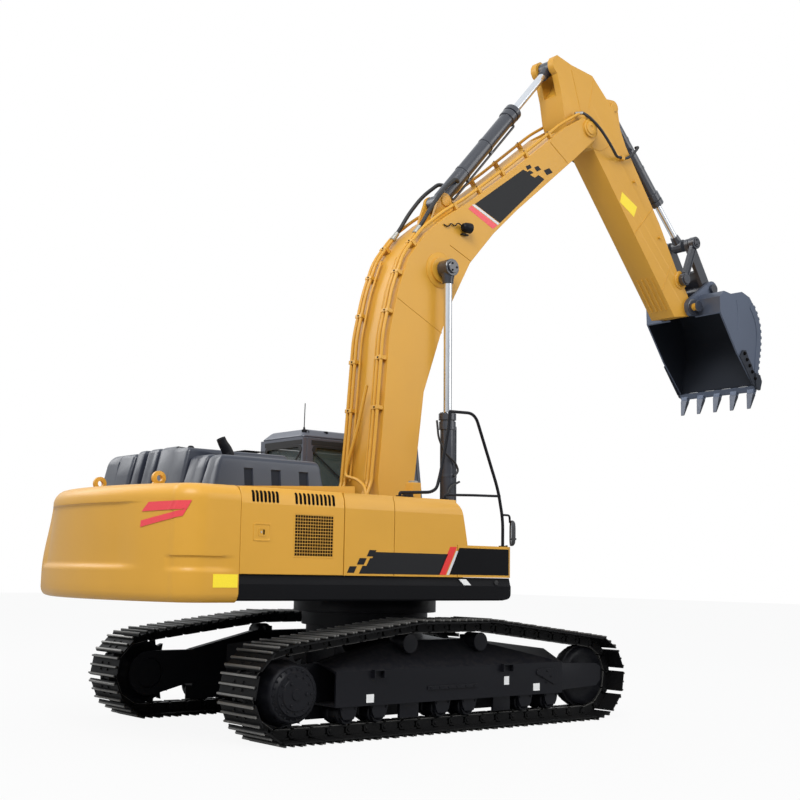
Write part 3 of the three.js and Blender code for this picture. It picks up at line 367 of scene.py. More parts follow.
class Piece:
    """Gathers plates, bars and turned parts into one mesh."""

    def __init__(self):
        self.mesh = bmesh.new()
        self.worn = self.mesh.verts.layers.float.new("worn")

    def dots(self, points):
        return [self.mesh.verts.new(Vector(p) + SHIFT) for p in points]

    def add(self, verts, faces):
        made = self.dots(verts)
        for face in faces:
            self.mesh.faces.new([made[i] for i in face])
        return self

    def prism(self, outline, low, high, place):
        """An outline pushed from one place to another, closed at both ends."""
        outline = [tuple(p) for p in outline]
        n = len(outline)
        verts = [place(a, b, t) for t in sorted((low, high)) for a, b in outline]
        sides = [(i, (i + 1) % n, n + (i + 1) % n, n + i) for i in range(n)]
        return self.add(verts, [*sides, tuple(range(n))[::-1], tuple(range(n, 2 * n))])

    def plate(self, outline, y0, y1):
        return self.prism(outline, y0, y1, lambda a, b, t: (a, t, b))

    def slab(self, outline, z0, z1):
        return self.prism(outline, z0, z1, lambda a, b, t: (a, b, t))

    def beam(self, outline, x0, x1):
        return self.prism(outline, x0, x1, lambda a, b, t: (t, a, b))

    def box(self, x0, x1, y0, y1, z0, z1):
        return self.slab(rect(x0, x1, *sorted((y0, y1))), z0, z1)

    def loft(self, loops, closed=True, ring=False):
        """Skins a run of equal loops, then closes its ends or joins the last to the first."""
        n, count = len(loops[0]), len(loops)
        verts = [p for loop in loops for p in loop]
        faces = [(k * n + i, k * n + (i + 1) % n,
                  (k + 1) % count * n + (i + 1) % n, (k + 1) % count * n + i)
                 for k in range(count if ring else count - 1) for i in range(n)]
        if closed and not ring:
            faces += [tuple(range(n))[::-1], tuple(range((count - 1) * n, count * n))]
        return self.add(verts, faces)

    def turned(self, start, direction, profile, sides=40, closed=True):
        """A turned part from (distance, radius) steps along a direction."""
        line = Vector(direction).normalized()
        one = line.orthogonal().normalized()
        two = line.cross(one)
        return self.loft([hoop(Vector(start) + line * d, one, two, max(r, 1e-4), sides)
                          for d, r in profile], closed)

    def pin(self, at, radius, y0, y1, sides=32, chamfer=0.004):
        """A round bar across the machine at an (x, z) place, with eased ends."""
        return self.turned((at[0], y0, at[1]), ACROSS, [
            (0, radius - chamfer), (chamfer, radius),
            (y1 - y0 - chamfer, radius), (y1 - y0, radius - chamfer)], sides)

    def tube(self, points, radius, bend=0.06, sides=14, steps=5):
        """A round pipe along a route with eased corners."""
        route = rounded(points, bend, steps) if len(points) > 2 else [Vector(p) for p in points]
        one = (route[1] - route[0]).normalized().orthogonal().normalized()
        loops = []
        for i, place in enumerate(route):
            way = (route[min(i + 1, len(route) - 1)] - route[max(i - 1, 0)]).normalized()
            one = (one - way * one.dot(way)).normalized()
            loops.append(hoop(place, one, way.cross(one), radius, sides))
        return self.loft(loops)

    def hull(self, points):
        got = bmesh.ops.convex_hull(self.mesh, input=self.dots(points))
        inside = [v for v in got["geom_interior"] if isinstance(v, bmesh.types.BMVert)]
        bmesh.ops.delete(self.mesh, geom=inside, context="VERTS")
        return self

    def mirrored(self):
        """The same shapes again on the other side of the machine."""
        got = bmesh.ops.duplicate(self.mesh, geom=self.mesh.verts[:] + self.mesh.faces[:])
        for v in (g for g in got["geom"] if isinstance(g, bmesh.types.BMVert)):
            v.co.y = -v.co.y
        bmesh.ops.reverse_faces(self.mesh, faces=[
            g for g in got["geom"] if isinstance(g, bmesh.types.BMFace)])
        return self

    def wear(self, rule):
        """Marks how worn each point is, from 0 to 1, by a rule on its place."""
        for v in self.mesh.verts:
            v[self.worn] = rule(v.co)
        return self

    def shape(self, name):
        """The gathered parts as mesh data, with their faces turned outwards."""
        bmesh.ops.recalc_face_normals(self.mesh, faces=self.mesh.faces)
        return taken(self.mesh, name)

    def done(self, name, body, finish, replaces=(), **looks):
        return settle(name, self.shape(name), body, finish, replaces, **looks)


def taken(mesh, name):
    """Mesh data with what a bmesh holds, which is then let go."""
    data = bpy.data.meshes.new(name)
    mesh.to_mesh(data)
    mesh.free()
    return data


def soften(data, angle):
    """Smooth shading, with the edges kept that turn by more than an angle in degrees."""
    data.shade_smooth()
    data.set_sharp_from_angle(angle=math.radians(angle))


# The frame's material slot that each finish stands for, where it stands for one
SLOT_FOR = {
    "yellow_paint": "yellow_paint", "black_paint": "black_paint", "gloss_black": "black_paint",
    "hood_skin": "hood_shell", "track_steel": "track_steel", "bucket_paint": "bucket_steel",
    "tooth_steel": "bucket_steel", "rod_chrome": "rod_chrome", "seat_cloth": "seat_fabric",
    "hose_rubber": "hose_rubber",
}


def settle(name, data, body, finish, replaces=(), edge=0.0, smooth=SOFT_ANGLE, slot=None):
    """Links a mesh as a finished piece that rides on a body; one given the two bodies it joins
    stays where it is.

    A slot, given or found from the finish, is not used further.
    """
    piece = bpy.data.objects.new(name, data)
    bpy.context.scene.collection.objects.link(piece)
    data.materials.clear()
    data.materials.append(FINISH[finish])
    soften(data, smooth)
    if edge:
        bevel = piece.modifiers.new("eased edges", "BEVEL")
        bevel.width, bevel.segments, bevel.limit_method = edge, 2, "ANGLE"
        bevel.angle_limit = math.radians(BEVEL_ANGLE)
        bevel.use_clamp_overlap = bevel.harden_normals = True
    if isinstance(body, str):
        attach(piece, body)
    else:
        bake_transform(piece)
    slot = SLOT_FOR.get(finish) if slot is None else slot
    if replaces:
        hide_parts(*replaces)
    return piece


BODY_OF = {node: body for body, nodes in frame["record"]["behaviour"]["bodies"].items()
           for node in nodes}
SLOT_OF = {s["node"]: s["material_slot"] for s in frame["record"]["subparts"]}


def refined(node, finish, edge=0.006, smooth=SOFT_ANGLE, change=None):
    """A copy of a CAD node's shape, its triangles joined into panels and its edges eased."""
    mesh = bmesh.new()
    mesh.from_mesh(frame["nodes"][node].data)
    for v in mesh.verts if change else ():
        change(v)
    bmesh.ops.remove_doubles(mesh, verts=mesh.verts, dist=2e-5)
    bmesh.ops.dissolve_limit(mesh, angle_limit=math.radians(1.0), verts=mesh.verts,
                             edges=mesh.edges, delimit={"NORMAL"})
    name = node + "_shape"
    return settle(name, taken(mesh, name), BODY_OF[node], finish, (node,), edge, smooth,
                  SLOT_OF[node])


def dressed(node, finish):
    """A CAD node shown as it is, with a finish."""
    for slot in frame["nodes"][node].material_slots:
        slot.material = FINISH[finish]


# ---- what repeats ---------------------------------------------------------------------------


class Stamp:
    """A Geometry Nodes tree that sets copies of an item along a row, a ring or a path."""

    def __init__(self, name, sockets, points, turn=None):
        self.tree = bpy.data.node_groups.new(name, "GeometryNodeTree")
        self.ids = {}
        self.socket("Geometry", "NodeSocketGeometry")
        for label, kind in {"Item": "NodeSocketObject", "Finish": "NodeSocketMaterial",
                            **sockets}.items():
            self.socket(label, kind)
        self.tree.interface.new_socket("Geometry", in_out="OUTPUT",
                                       socket_type="NodeSocketGeometry")
        self.entry = self.tree.nodes.new("NodeGroupInput")
        leave = self.tree.nodes.new("NodeGroupOutput")
        where = points(self)
        item = self.node("GeometryNodeObjectInfo", {"transform_space": "ORIGINAL"},
                         Object="Item")
        copies = self.node("GeometryNodeInstanceOnPoints", Points=where[0],
                           Instance=item.outputs["Geometry"])
        if turn:
            self.tree.links.new(turn(self, where), copies.inputs["Rotation"])
        real = self.node("GeometryNodeRealizeInstances", Geometry=copies.outputs[0])
        dress = self.node("GeometryNodeSetMaterial", Geometry=real.outputs[0], Material="Finish")
        self.tree.links.new(dress.outputs[0], leave.inputs[0])

    def socket(self, label, kind):
        made = self.tree.interface.new_socket(label, in_out="INPUT", socket_type=kind)
        self.ids[label] = made.identifier

    def node(self, kind, settings=None, **inputs):
        node = self.tree.nodes.new(kind)
        for key, value in (settings or {}).items():
            setattr(node, key, value)
        for key, value in inputs.items():
            socket = node.inputs[key]
            if isinstance(value, str):
                value = self.entry.outputs[value]
            if isinstance(value, bpy.types.NodeSocket):
                self.tree.links.new(value, socket)
            else:
                socket.default_value = value
        return node

    def lay(self, item, finish, host=None, **inputs):
        """The copies as one plain mesh, in the item's own units."""
        host = host or bpy.data.objects.new("host", bpy.data.meshes.new("host"))
        if host.name not in bpy.context.scene.collection.objects:
            bpy.context.scene.collection.objects.link(host)
        modifier = host.modifiers.new("copies", "NODES")
        modifier.node_group = self.tree
        for label, value in {"Item": item, "Finish": FINISH[finish], **inputs}.items():
            modifier[self.ids[label]] = value
        bpy.context.view_layer.update()
        seen = host.evaluated_get(bpy.context.evaluated_depsgraph_get())
        data = bpy.data.meshes.new_from_object(seen)
        bpy.data.objects.remove(host)
        return data


def row_points(s):
    line = s.node("GeometryNodeMeshLine", {"mode": "OFFSET"}, Count="Count", Offset="Step")
    return line.outputs[0], None


def ring_points(s):
    circle = s.node("GeometryNodeMeshCircle", Vertices="Count", Radius="Radius")
    return circle.outputs[0], None


def outwards(s, _where):
    place = s.node("GeometryNodeInputPosition")
    turn = s.node("FunctionNodeAlignRotationToVector", {"axis": "X", "pivot_axis": "Z"},
                  Vector=place.outputs[0])
    return turn.outputs[0]


def path_points(s):
    spots = s.node("GeometryNodeCurveToPoints", {"mode": "COUNT"}, Curve="Geometry",
                   Count="Count")
    return spots.outputs["Points"], spots.outputs["Tangent"]


def ahead(s, where):
    turn = s.node("FunctionNodeAlignRotationToVector", {"axis": "X", "pivot_axis": "Y"},
                  Vector=where[1])
    return turn.outputs[0]


ROW = Stamp("copies in a row", {"Count": "NodeSocketInt", "Step": "NodeSocketVector"}, row_points)
RING = Stamp("copies in a ring", {"Count": "NodeSocketInt", "Radius": "NodeSocketFloat"},
             ring_points, outwards)
PATH = Stamp("copies on a path", {"Count": "NodeSocketInt"}, path_points, ahead)


def item(piece):
    """A small shape kept out of the scene, to be copied."""
    data = piece.shape("item")
    data.transform(Matrix.Translation(-SHIFT))
    soften(data, SOFT_ANGLE)
    return bpy.data.objects.new("item", data)


def facing(normal, along=AHEAD):
    """The turn that takes Z to a normal and X near to a direction."""
    z = Vector(normal).normalized()
    x = Vector(along)
    x = x - z * x.dot(z)
    x = (x if x.length > 1e-6 else z.orthogonal()).normalized()
    return Matrix((x, z.cross(x), z)).transposed().to_4x4()


def gather(datas):
    """Several placed meshes as one."""
    whole = bmesh.new()
    for data, place in datas:
        data.transform(place)
        whole.from_mesh(data)
    return taken(whole, "gathered")


def spot(at, normal=UP, along=AHEAD):
    """Where an item goes: a place from the slewing axis, on a face with a normal."""
    return Matrix.Translation(Vector(at) + SHIFT) @ facing(normal, along)


def bolt_item(radius):
    head = Piece().turned((0, 0, 0), UP, [(0, radius * 1.35), (radius * 0.2, radius * 1.3)], 16)
    return item(head.turned((0, 0, 0), UP, [
        (0, radius), (radius * 0.935, radius), (radius * 1.1, radius * 0.86)], 6))


def bolt_ring(at, normal, radius, count, size):
    return (RING.lay(bolt_item(size), "black_paint", Count=count, Radius=radius), spot(at, normal))


def bolt_row(at, normal, size, step=0.0, count=1, along=AHEAD):
    """Bolts on a face. The step is along the face's own first direction."""
    return (ROW.lay(bolt_item(size), "black_paint", Count=count, Step=(step, 0, 0)),
            spot(at, normal, along))


def gaps(thing, at, step, count):
    """Openings in a row towards the front, as dark blocks that are painted shade of their insides.
    """
    return (ROW.lay(thing, "gap_shade_and_black", Count=count, Step=(step, 0, 0)),
            Matrix.Translation(Vector(at) + SHIFT))


def bolts(name, body, laid, finish="black_paint"):
    settle(name, gather(laid), body, finish)


# ---- tracks ---------------------------------------------------------------------------------

AXLE_X, AXLE_Z, PIN_RADIUS = 2.005, 0.46, 0.371
CARRIERS = ((0.44, 1.016), (-0.507, 1.016))
CROWN = 0.5


def belt_line():
    """The line of the chain pins, as (x, z) points running forwards along the top."""
    wheels = [(AXLE_X, AXLE_Z, PIN_RADIUS)]
    wheels += [(x, top - CROWN, CROWN) for x, top in CARRIERS]
    wheels += [(-AXLE_X, AXLE_Z, PIN_RADIUS)]
    angles = []
    for i, (x0, z0, r0) in enumerate(wheels):
        x1, z1, r1 = wheels[(i + 1) % len(wheels)]
        span = math.hypot(x1 - x0, z1 - z0)
        ux, uz, lean = (x1 - x0) / span, (z1 - z0) / span, (r0 - r1) / span
        square = math.sqrt(1 - lean * lean)
        angles.append(math.degrees(math.atan2(uz * lean - ux * square, ux * lean + uz * square)))
    line = []
    for i, (x, z, r) in enumerate(wheels):
        start = angles[i - 1]
        sweep = (angles[i] - start) % 360
        line += arc((x, z), r, start, start + sweep, max(2, round(sweep / 4)))
    return line[::-1]


def track_shoe(width, pitch):
    """A plate with three grousers, x along the track and z out of it."""
    half, reach = width / 2, pitch * 0.49
    foot, crest, inset = 0.015, 0.008, 0.012
    shoe = Piece().beam(rect(-half, half, 0.047, 0.059), -reach, reach)
    for x, top, lean in ((inset - reach, 0.0875, 0.004), (0, 0.086, 0),
                         (reach - inset, 0.0875, -0.004)):
        shoe.loft([[(x - foot, y, 0.055), (x + foot, y, 0.055), (x + crest + lean, y, top),
                    (x - crest + lean, y, top)] for y in (inset - half, half - inset)])
    return item(shoe.wear(lambda at: 1.0 if at.z > 0.075 else 0.12))


def track_link(pitch):
    """A pair of chain links with their pin and bush."""
    link, half = Piece(), pitch / 2
    for side in (RIGHT, LEFT):
        for a, b, y in ((-half, 0.012, 0.058), (-0.012, half, 0.082)):
            link.plate(strap((a, 0.0), (b, 0.0), 0.04, steps=5),
                       side * (y - 0.013), side * (y + 0.013))
        for reach, low, high in ((half * 0.82, -0.049, -0.03), (half * 0.7, 0.028, 0.047)):
            link.box(-reach, reach, side * 0.046, side * 0.094, low, high)
    link.pin((half, 0.0), 0.029, -0.05, 0.05, 10)
    link.pin((half, 0.0), 0.019, -0.104, 0.104, 10)
    return item(link.wear(lambda at: 0.8 if at.z < -0.04 else 0.0))


class EXCAVATOR_OT_tracks(bpy.types.Operator):
    """Lays the shoes and chain links of both tracks along their belt line"""

    bl_idname = "excavator.tracks"
    bl_label = "Tracks"

    def execute(self, context):
        settings = context.scene.excavator_track
        line = belt_line()
        pitch = sum(math.dist(a, b) for a, b in zip(line, line[1:] + line[:1])) / settings.shoes
        for side, label in SIDES:
            items = [track_shoe(settings.width, pitch), track_link(pitch)]
            bolt = bolt_item(0.012)
            for x in (-0.034, 0.034):
                for y in (-0.072, 0.072):
                    head = bolt.data.copy()
                    head.transform(Matrix.Translation((x, y, 0.059)))
                    items.append(bpy.data.objects.new("item", head))
            laid = [(PATH.lay(thing, "track_steel", self.belt(line, side * settings.gauge / 2),
                              Count=settings.shoes), Matrix.Identity(4)) for thing in items]
            settle(f"track_{label}_shoes", gather(laid), "undercarriage", "track_steel",
                   (f"track_{label}",))
        return {"FINISHED"}

    def belt(self, line, middle):
        """The belt line of one track as a closed curve."""
        path = bpy.data.curves.new("belt", "CURVE")
        path.dimensions = "3D"
        spline = path.splines.new("POLY")
        spline.points.add(len(line) - 1)
        for point, (x, z) in zip(spline.points, line):
            point.co = (*(Vector((x, middle, z)) + SHIFT), 1)
        spline.use_cyclic_u = True
        return bpy.data.objects.new("belt", path)


class EXCAVATOR_OT_track_frames(bpy.types.Operator):
    """Dresses the track frames, rollers, final drives and idlers"""

    bl_idname = "excavator.track_frames"
    bl_label = "Track frames"

    ROLLERS = (-1.31, -0.94, -0.14, 0.22, 1.02, 1.41)
    FACE = 1.48            # outer face of a track frame
    SPROCKET = (0.06, 0.27)  # half width and root radius

    def execute(self, context):
        refined("car_body", "black_paint", 0.008)
        for side, label in SIDES:
            middle = side * context.scene.excavator_track.gauge / 2
            refined(f"track_frame_{label}", "black_paint")
            refined(f"idler_{label}", "black_paint", 0.0)
            self.final_drive(side, label, middle)
            self.rollers(side, label, middle)
            self.steps(side, label)
        return {"FINISHED"}

    def final_drive(self, side, label, middle):
        half, root = self.SPROCKET

        def slimmer(v):
            """The drum outside the sprocket is drawn in towards its axle."""
            x, z = v.co.x - SHIFT.x + AXLE_X, v.co.z - AXLE_Z
            reach = math.hypot(x, z)
            if side * (v.co.y - middle) > half and reach > root:
                share = (root + (reach - root) * 0.15) / reach
                v.co.x, v.co.z = SHIFT.x - AXLE_X + x * share, AXLE_Z + z * share

        refined(f"final_drive_{label}", "black_paint", 0.0, change=slimmer)
        Piece().turned((-AXLE_X, middle + side * 0.23, AXLE_Z), (0, side, 0), [
            (0, 0.25), (0.02, 0.25), (0.026, 0.242), (0.026, 0.196), (0.062, 0.188),
            (0.064, 0.15), (0.074, 0.144), (0.074, 0.052), (0.084, 0.048), (0.084, 0.0)],
            48).done(f"final_drive_{label}_cover", "undercarriage", "black_paint")
        bolts(f"final_drive_{label}_bolts", "undercarriage", [
            bolt_ring((-AXLE_X, middle + side * y, AXLE_Z), (0, side, 0), radius, count, size)
            for y, radius, count, size in ((0.256, 0.222, 22, 0.011), (0.292, 0.168, 12, 0.01),
                                           (0.303, 0.11, 3, 0.013), (0.175, 0.256, 20, 0.01))])

    def rollers(self, side, label, middle):
        shape = Piece()
        for x in self.ROLLERS:
            for way in (-1, 1):
                shape.turned((x, middle, 0.232), (0, way, 0), [
                    (0.0, 0.074), (0.04, 0.078), (0.052, 0.098), (0.1, 0.098), (0.112, 0.08),
                    (0.13, 0.078), (0.15, 0.06), (0.158, 0.04), (0.158, 0.0)], 24)
                shape.plate([(x - 0.085, 0.232), (x - 0.06, 0.19), (x + 0.06, 0.19),
                             (x + 0.085, 0.232), (x + 0.105, 0.306), (x - 0.105, 0.306)],
                            middle + way * 0.132, middle + way * 0.166)
        for x, _ in CARRIERS:
            shape.turned((x, middle - 0.1, 0.866), ACROSS, [
                (0, 0.06), (0.006, 0.092), (0.026, 0.092), (0.034, 0.076), (0.166, 0.076),
                (0.174, 0.092), (0.194, 0.092), (0.2, 0.06), (0.212, 0.054), (0.212, 0.0)], 28)
        shape.plate(rect(-1.56, 1.56, 0.17, 0.31), middle - side * 0.19, middle - side * 0.178)
        shape.done(f"rollers_{label}", "undercarriage", "black_paint", smooth=40)
        bolts(f"rollers_{label}_bolts", "undercarriage", [
            bolt_row((x - 0.08, middle + side * 0.166, 0.288), (0, side, 0), 0.01, 0.16, 2)
            for x in self.ROLLERS])

    def steps(self, side, label):
        """Step brackets, the adjuster's cover and the blank labels on the frame's outer face."""
        wall = 0.012
        face = side * self.FACE
        cover, reach = face + side * wall, face + side * 0.048
        shape = Piece()
        for x0, x1 in ((-1.06, -0.93), (0.64, 0.79)):
            shape.box(x0, x1, face, reach, 0.628, 0.64)
            for x in (x0, x1 - wall):
                shape.plate(rect(x, x + wall, 0.56, 0.628), face, reach)
        shape.plate(rect(-0.36, 0.3, 0.42, 0.455), face, cover)
        lid = rect(1.16, 1.48, 0.4, 0.57)
        shape.plate(rounded([*lid, lid[0]], 0.05)[1:-1], face, cover)
        shape.done(f"steps_{label}", "undercarriage", "black_paint", edge=0.002)
        bolts(f"steps_{label}_bolts", "undercarriage", [
            bolt_row((0.26 if side > 0 else -0.32, cover, 0.4375), (0, side, 0), 0.008, 0.116, 6,
                     (-side, 0, 0)),
            bolt_ring((1.32, cover, 0.485), (0, side, 0), 0.06, 4, 0.009)])
        plates = Piece()
        for sizes in ((-1.12, -1.03, 0.335, 0.412), (0.69, 0.76, 0.425, 0.51),
                      (1.12, 1.215, 0.345, 0.42)):
            plates.plate(rect(*sizes), face, face + side * 0.002)
        plates.done(f"labels_{label}", "undercarriage", "white_plate")


# ---- house ----------------------------------------------------------------------------------

TAIL_FRONT = -2.585
CAB_BACK, CAB_RIGHT, CAB_LEFT, CAB_ROOF = -0.48, 0.585, 1.45, 3.1


class EXCAVATOR_OT_house(bpy.types.Operator):
    """Dresses the revolving frame, skirts, tanks, doors and tool box"""

    bl_idname = "excavator.house"
    bl_label = "House"

    LOUVRES = ((-2.454, 0.0432, 7), (-1.985, 0.0471, 10))  # first slot, step and count
    LOUVRE = ((2.163, 0.006), (2.169, 0.0125), (2.2, 0.013), (2.241, 0.013), (2.262, 0.0125),
              (2.269, 0.006))       # height and half width of one slot
    GRILLES = ((RIGHT, "right", "pump_door_leaf", -1.985, 15),
               (LEFT, "left", "radiator_door_leaf", -2.44, 28))  # first hole and columns
    LATCHES = (("pump", RIGHT, -2.357), ("radiator", LEFT, -1.66), ("filter", LEFT, -0.68))
    # rings of a latch: half length, half height and how far out
    LATCH_RINGS = {
        "rim": ((0.094, 0.08, -0.002), (0.092, 0.078, 0.0045), (0.082, 0.068, 0.0045),
                (0.078, 0.064, 0.0005), (0.004, 0.004, 0.0005)),
        "frame": ((0.04, 0.036, 0.0), (0.04, 0.036, 0.0042), (0.03, 0.026, 0.0042),
                  (0.03, 0.026, 0.001), (0.004, 0.004, 0.001)),
    }

    def execute(self, context):
        edge = context.scene.excavator_trim.edge
        for node in ("hydraulic_tank", "fuel_tank", "pump_door", "radiator_door", "filter_door"):
            refined(node, "yellow_paint", edge)
        refined("house_frame", "yellow_paint", 0.0, change=self.lower_deck)
        refined("skirt_left", "deep_black", edge)
        refined("tool_box", "yellow_paint", edge, change=self.longer)
        self.skirt()
        self.box_panel()
        refined("tool_box_lid", "yellow_paint", edge, change=self.longer)
        refined("revolving_frame", "black_paint", 0.0)
        refined("engine", "engine_casting", 0.02)
        self.louvres()
        self.latches()
        self.stripes()
        self.tank_tops()
        self.sockets()
        return {"FINISHED"}

    def lower_deck(self, v):
        """The engine deck's rim is brought down to the tops of the side panels."""
        if v.co.z > 2.305 and abs(v.co.y) > 1.1 and v.co.x - SHIFT.x < -1.38:
            v.co.z = 2.303

    def longer(self, v):
        """The front of the tool box stands a little further out."""
        if v.co.x - SHIFT.x > 0.5:
            v.co.x += 0.05

    def box_panel(self):
        """The black panel on the tool box and round its corner, over the yellow shell."""
        low, high, y, bend, end = 1.545, 1.815, -HALF_WIDTH, 0.085, 0.71
        shape = Piece().plate([(-0.095, low), (end, low), (end, high), (0.035, high)],
                              y - 0.003, y + 0.001)
        corner = [(end + bend * math.sin(t) * 0.98, y + 0.1 - 0.103 * math.cos(t))
                  for t in (math.pi / 2 * i / 8 for i in range(9))]
        inner = [(x - (x - end + 0.015) * 0.05, p + 0.004) for x, p in corner]
        for quad in zip(corner, corner[1:], inner[1:], inner):
            shape.hull([(*p, z) for p in quad for z in (low, high)])
        shape.done("tool_box_panel", "house", "deep_black")

    def louvres(self):
        """Slots near the top of the doors, and a perforated grille with its rim on two of them. The
        slots and the grille's holes are dark blocks, painted shade of the openings.
        """
        def face(z):
            """How far out a door's skin is: it leans in above 2.151 and folds in above 2.241."""
            return (HALF_WIDTH - max(0.0, min(z, 2.241) - 2.151) * 0.1556
                    - max(0.0, z - 2.241) * 0.6)

        rows, pitch, z0, near, far = 13, 0.029, 1.705, 0.019, 0.027
        for side, label, body, x0, columns in self.GRILLES:
            slot = item(Piece().loft([[(x, side * (face(z) + out), z) for x, out in rect(
                -half, half, -0.004, 0.003)] for z, half in self.LOUVRE]))
            hole = item(Piece().box(-0.0112, 0.0112, -0.0012, 0.0012, -0.0112, 0.0112))
            for name, laid in (
                    ("louvres", [gaps(slot, (x, 0, 0), step, count)
                                 for x, step, count in self.LOUVRES]),
                    ("grille", [gaps(hole, (x0, side * (HALF_WIDTH + 0.0004), z0 + pitch * k),
                                     pitch, columns) for k in range(rows)])):
                settle(f"{name}_{label}", gather(laid), body, "gap_shade_and_black")
            x1, z1 = x0 + (columns - 1) * pitch, z0 + (rows - 1) * pitch
            rim = Piece()
            for a0, a1, b0, b1 in ((x0 - far, x1 + far, z1 + near, z1 + far),
                                   (x0 - far, x1 + far, z0 - far, z0 - near),
                                   (x0 - far, x0 - near, z0 - near, z1 + near),
                                   (x1 + near, x1 + far, z0 - near, z1 + near)):
                rim.box(a0, a1, side * HALF_WIDTH, side * (HALF_WIDTH + 0.003), b0, b1)
            rim.done(f"grille_rim_{label}", body, "yellow_paint", edge=0.001)

    def skirt(self):
        """The right skirt: a band that leans in along its top, with a rounded front corner."""
        across = [(0.014, 1.285), (0.0, 1.299), (0.0, 1.432), (0.004, 1.437), (0.018, 1.504),
                  (0.018, 1.5145), (0.05, 1.5145), (0.05, 1.285)]
        end, round_end, bend, bottom = 0.828, 0.165, 0.1, 1.285
        plan = [(x, -HALF_WIDTH, 0, 1)
                for x in (TAIL_FRONT, end - round_end - 0.04, end - round_end)]
        for i in range(9):
            a = math.radians(-90 + 90 * i / 8)
            plan.append((end - bend + bend * math.cos(a), bend - HALF_WIDTH + bend * math.sin(a),
                         -math.cos(a), -math.sin(a)))
        plan += [(end, y, -1, 0) for y in (-1.2, -0.9, -0.6)]
        loops = []
        for x, y, inx, iny in plan:
            past = min(max(x - (end - round_end), 0.0) / round_end, 1.0)
            lift = round_end * (1 - math.sqrt(1 - past * past))
            loops.append([(x + inx * off, y + iny * off, max(z, bottom + lift))
                          for off, z in across])
        Piece().loft(loops).done("skirt_right_band", "house", "deep_black", ("skirt_right",),
                                 smooth=30, slot="black_paint")
        Piece().plate([(0.104, 1.4405), (0.201, 1.4405), (0.131, 1.5), (0.035, 1.5)],
                      -HALF_WIDTH - 0.0015, -HALF_WIDTH + 0.012).done(
            "skirt_patch", "house", "white_plate")
        Piece().turned((0.56, -HALF_WIDTH + 0.014, 1.468), (0, -1, 0), [
            (0, 0.026), (0.016, 0.026), (0.019, 0.02), (0.019, 0.0)], 24).done(
            "skirt_marker", "house", "seal_rubber")

    def latches(self):
        """Recessed latches with their dark lock, one on each door."""
        z = 1.895
        for name, side, x in self.LATCHES:
            face, body = side * HALF_WIDTH, f"{name}_door_leaf"
            for part, rings in self.LATCH_RINGS.items():
                loops = []
                for half_x, half_z, out in rings:
                    corners = rect(x - half_x, x + half_x, z - half_z, z + half_z)
                    outline = rounded([corners[-1], *corners, corners[0]], 0.016, 3)[1:-1]
                    loops.append([(a, face + side * out, b) for a, b in outline])
                Piece().loft(loops).done(f"{name}_latch_{part}", body, "yellow_paint", smooth=30)
            Piece().turned((x - 0.008, face, z), (0, side, 0), [
                (0, 0.009), (0.004, 0.009), (0.0044, 0.0)], 20).done(
                f"{name}_latch_key", body, "fitting_steel")
            Piece().box(x + 0.012, x + 0.027, face, face + side * 0.003, z - 0.022,
                        z + 0.022).done(f"{name}_latch_lock", body, "gap_shade_and_black")

    def stripes(self):
        """Plain blocks of colour on the sides, in the places of the painted band."""
        low, top, high, lean = 1.54, 1.748, 1.823, 0.53
        check, step, door_end = 0.062, 0.079, -0.54

        def slanted(x0, x1, z0, z1):
            return [(x + (z - low) * lean, z) for x, z in rect(x0, x1, z0, z1)]

        checks = [slanted(-1.396 + 0.075 * k, -1.312 + 0.075 * k, low + 0.006 + step * k,
                          low + 0.006 + check + step * k) for k in range(3)]
        band = [(-1.051, top), (-1.088, 1.69), (-1.118, 1.688), (-1.161, 1.614), (-1.208, 1.614),
                (-1.25, low), (-0.231, low), (-0.119, top)]
        for side, label, body in ((RIGHT, "right", "house"), (LEFT, "left", "filter_door_leaf")):
            shape = Piece()
            for outline in [band, *checks]:
                if side == LEFT:
                    outline = [(min(x, door_end), z) for x, z in outline]
                shape.plate(outline, side * (HALF_WIDTH + PROUD), side * (HALF_WIDTH - 0.0002))
            shape.done(f"side_band_{label}", body, "decal_black")
        for name, finish, outline in (
                ("red", "decal_scarlet", slanted(-0.239, -0.148, low, high)),
                ("silver", "decal_silver", slanted(-0.136, -0.104, low, 1.783))):
            Piece().plate(outline, -HALF_WIDTH - PROUD, -HALF_WIDTH + 0.0002).done(
                f"side_stripe_{name}", "house", finish)

    def tank_tops(self):
        """Caps, hinges and hand plates on the right-hand tanks."""
        caps = Piece()
        for x, y, profile, sides in (
                (-1.13, -1.05, [(0, 0.085), (0.03, 0.085), (0.034, 0.075), (0.034, 0.05),
                                (0.052, 0.046), (0.052, 0)], 36),
                (-0.35, -1.12, [(0, 0.075), (0.026, 0.075), (0.03, 0.06), (0.058, 0.056),
                                (0.062, 0.048), (0.062, 0)], 36),
                (-0.62, -0.82, [(0, 0.06), (0.012, 0.06), (0.014, 0)], 28)):
            caps.turned((x, y, TANK_TOP), UP, profile, sides)
        caps.done("tank_caps", "house", "black_paint")
        bolts("tank_cap_bolts", "house", [bolt_ring((-0.62, -0.82, 2.309), UP, 0.045, 6, 0.006),
                                          bolt_ring((-1.13, -1.05, 2.329), UP, 0.066, 6, 0.006)])
        grip = Piece()
        for x in (-0.74, -0.44, -0.14):
            for y in (-1.26, -1.16):
                grip.box(x, x + 0.12, y, y + 0.05, 2.2975, 2.3015)
        grip.done("tread_strips", "house", "grip_black")

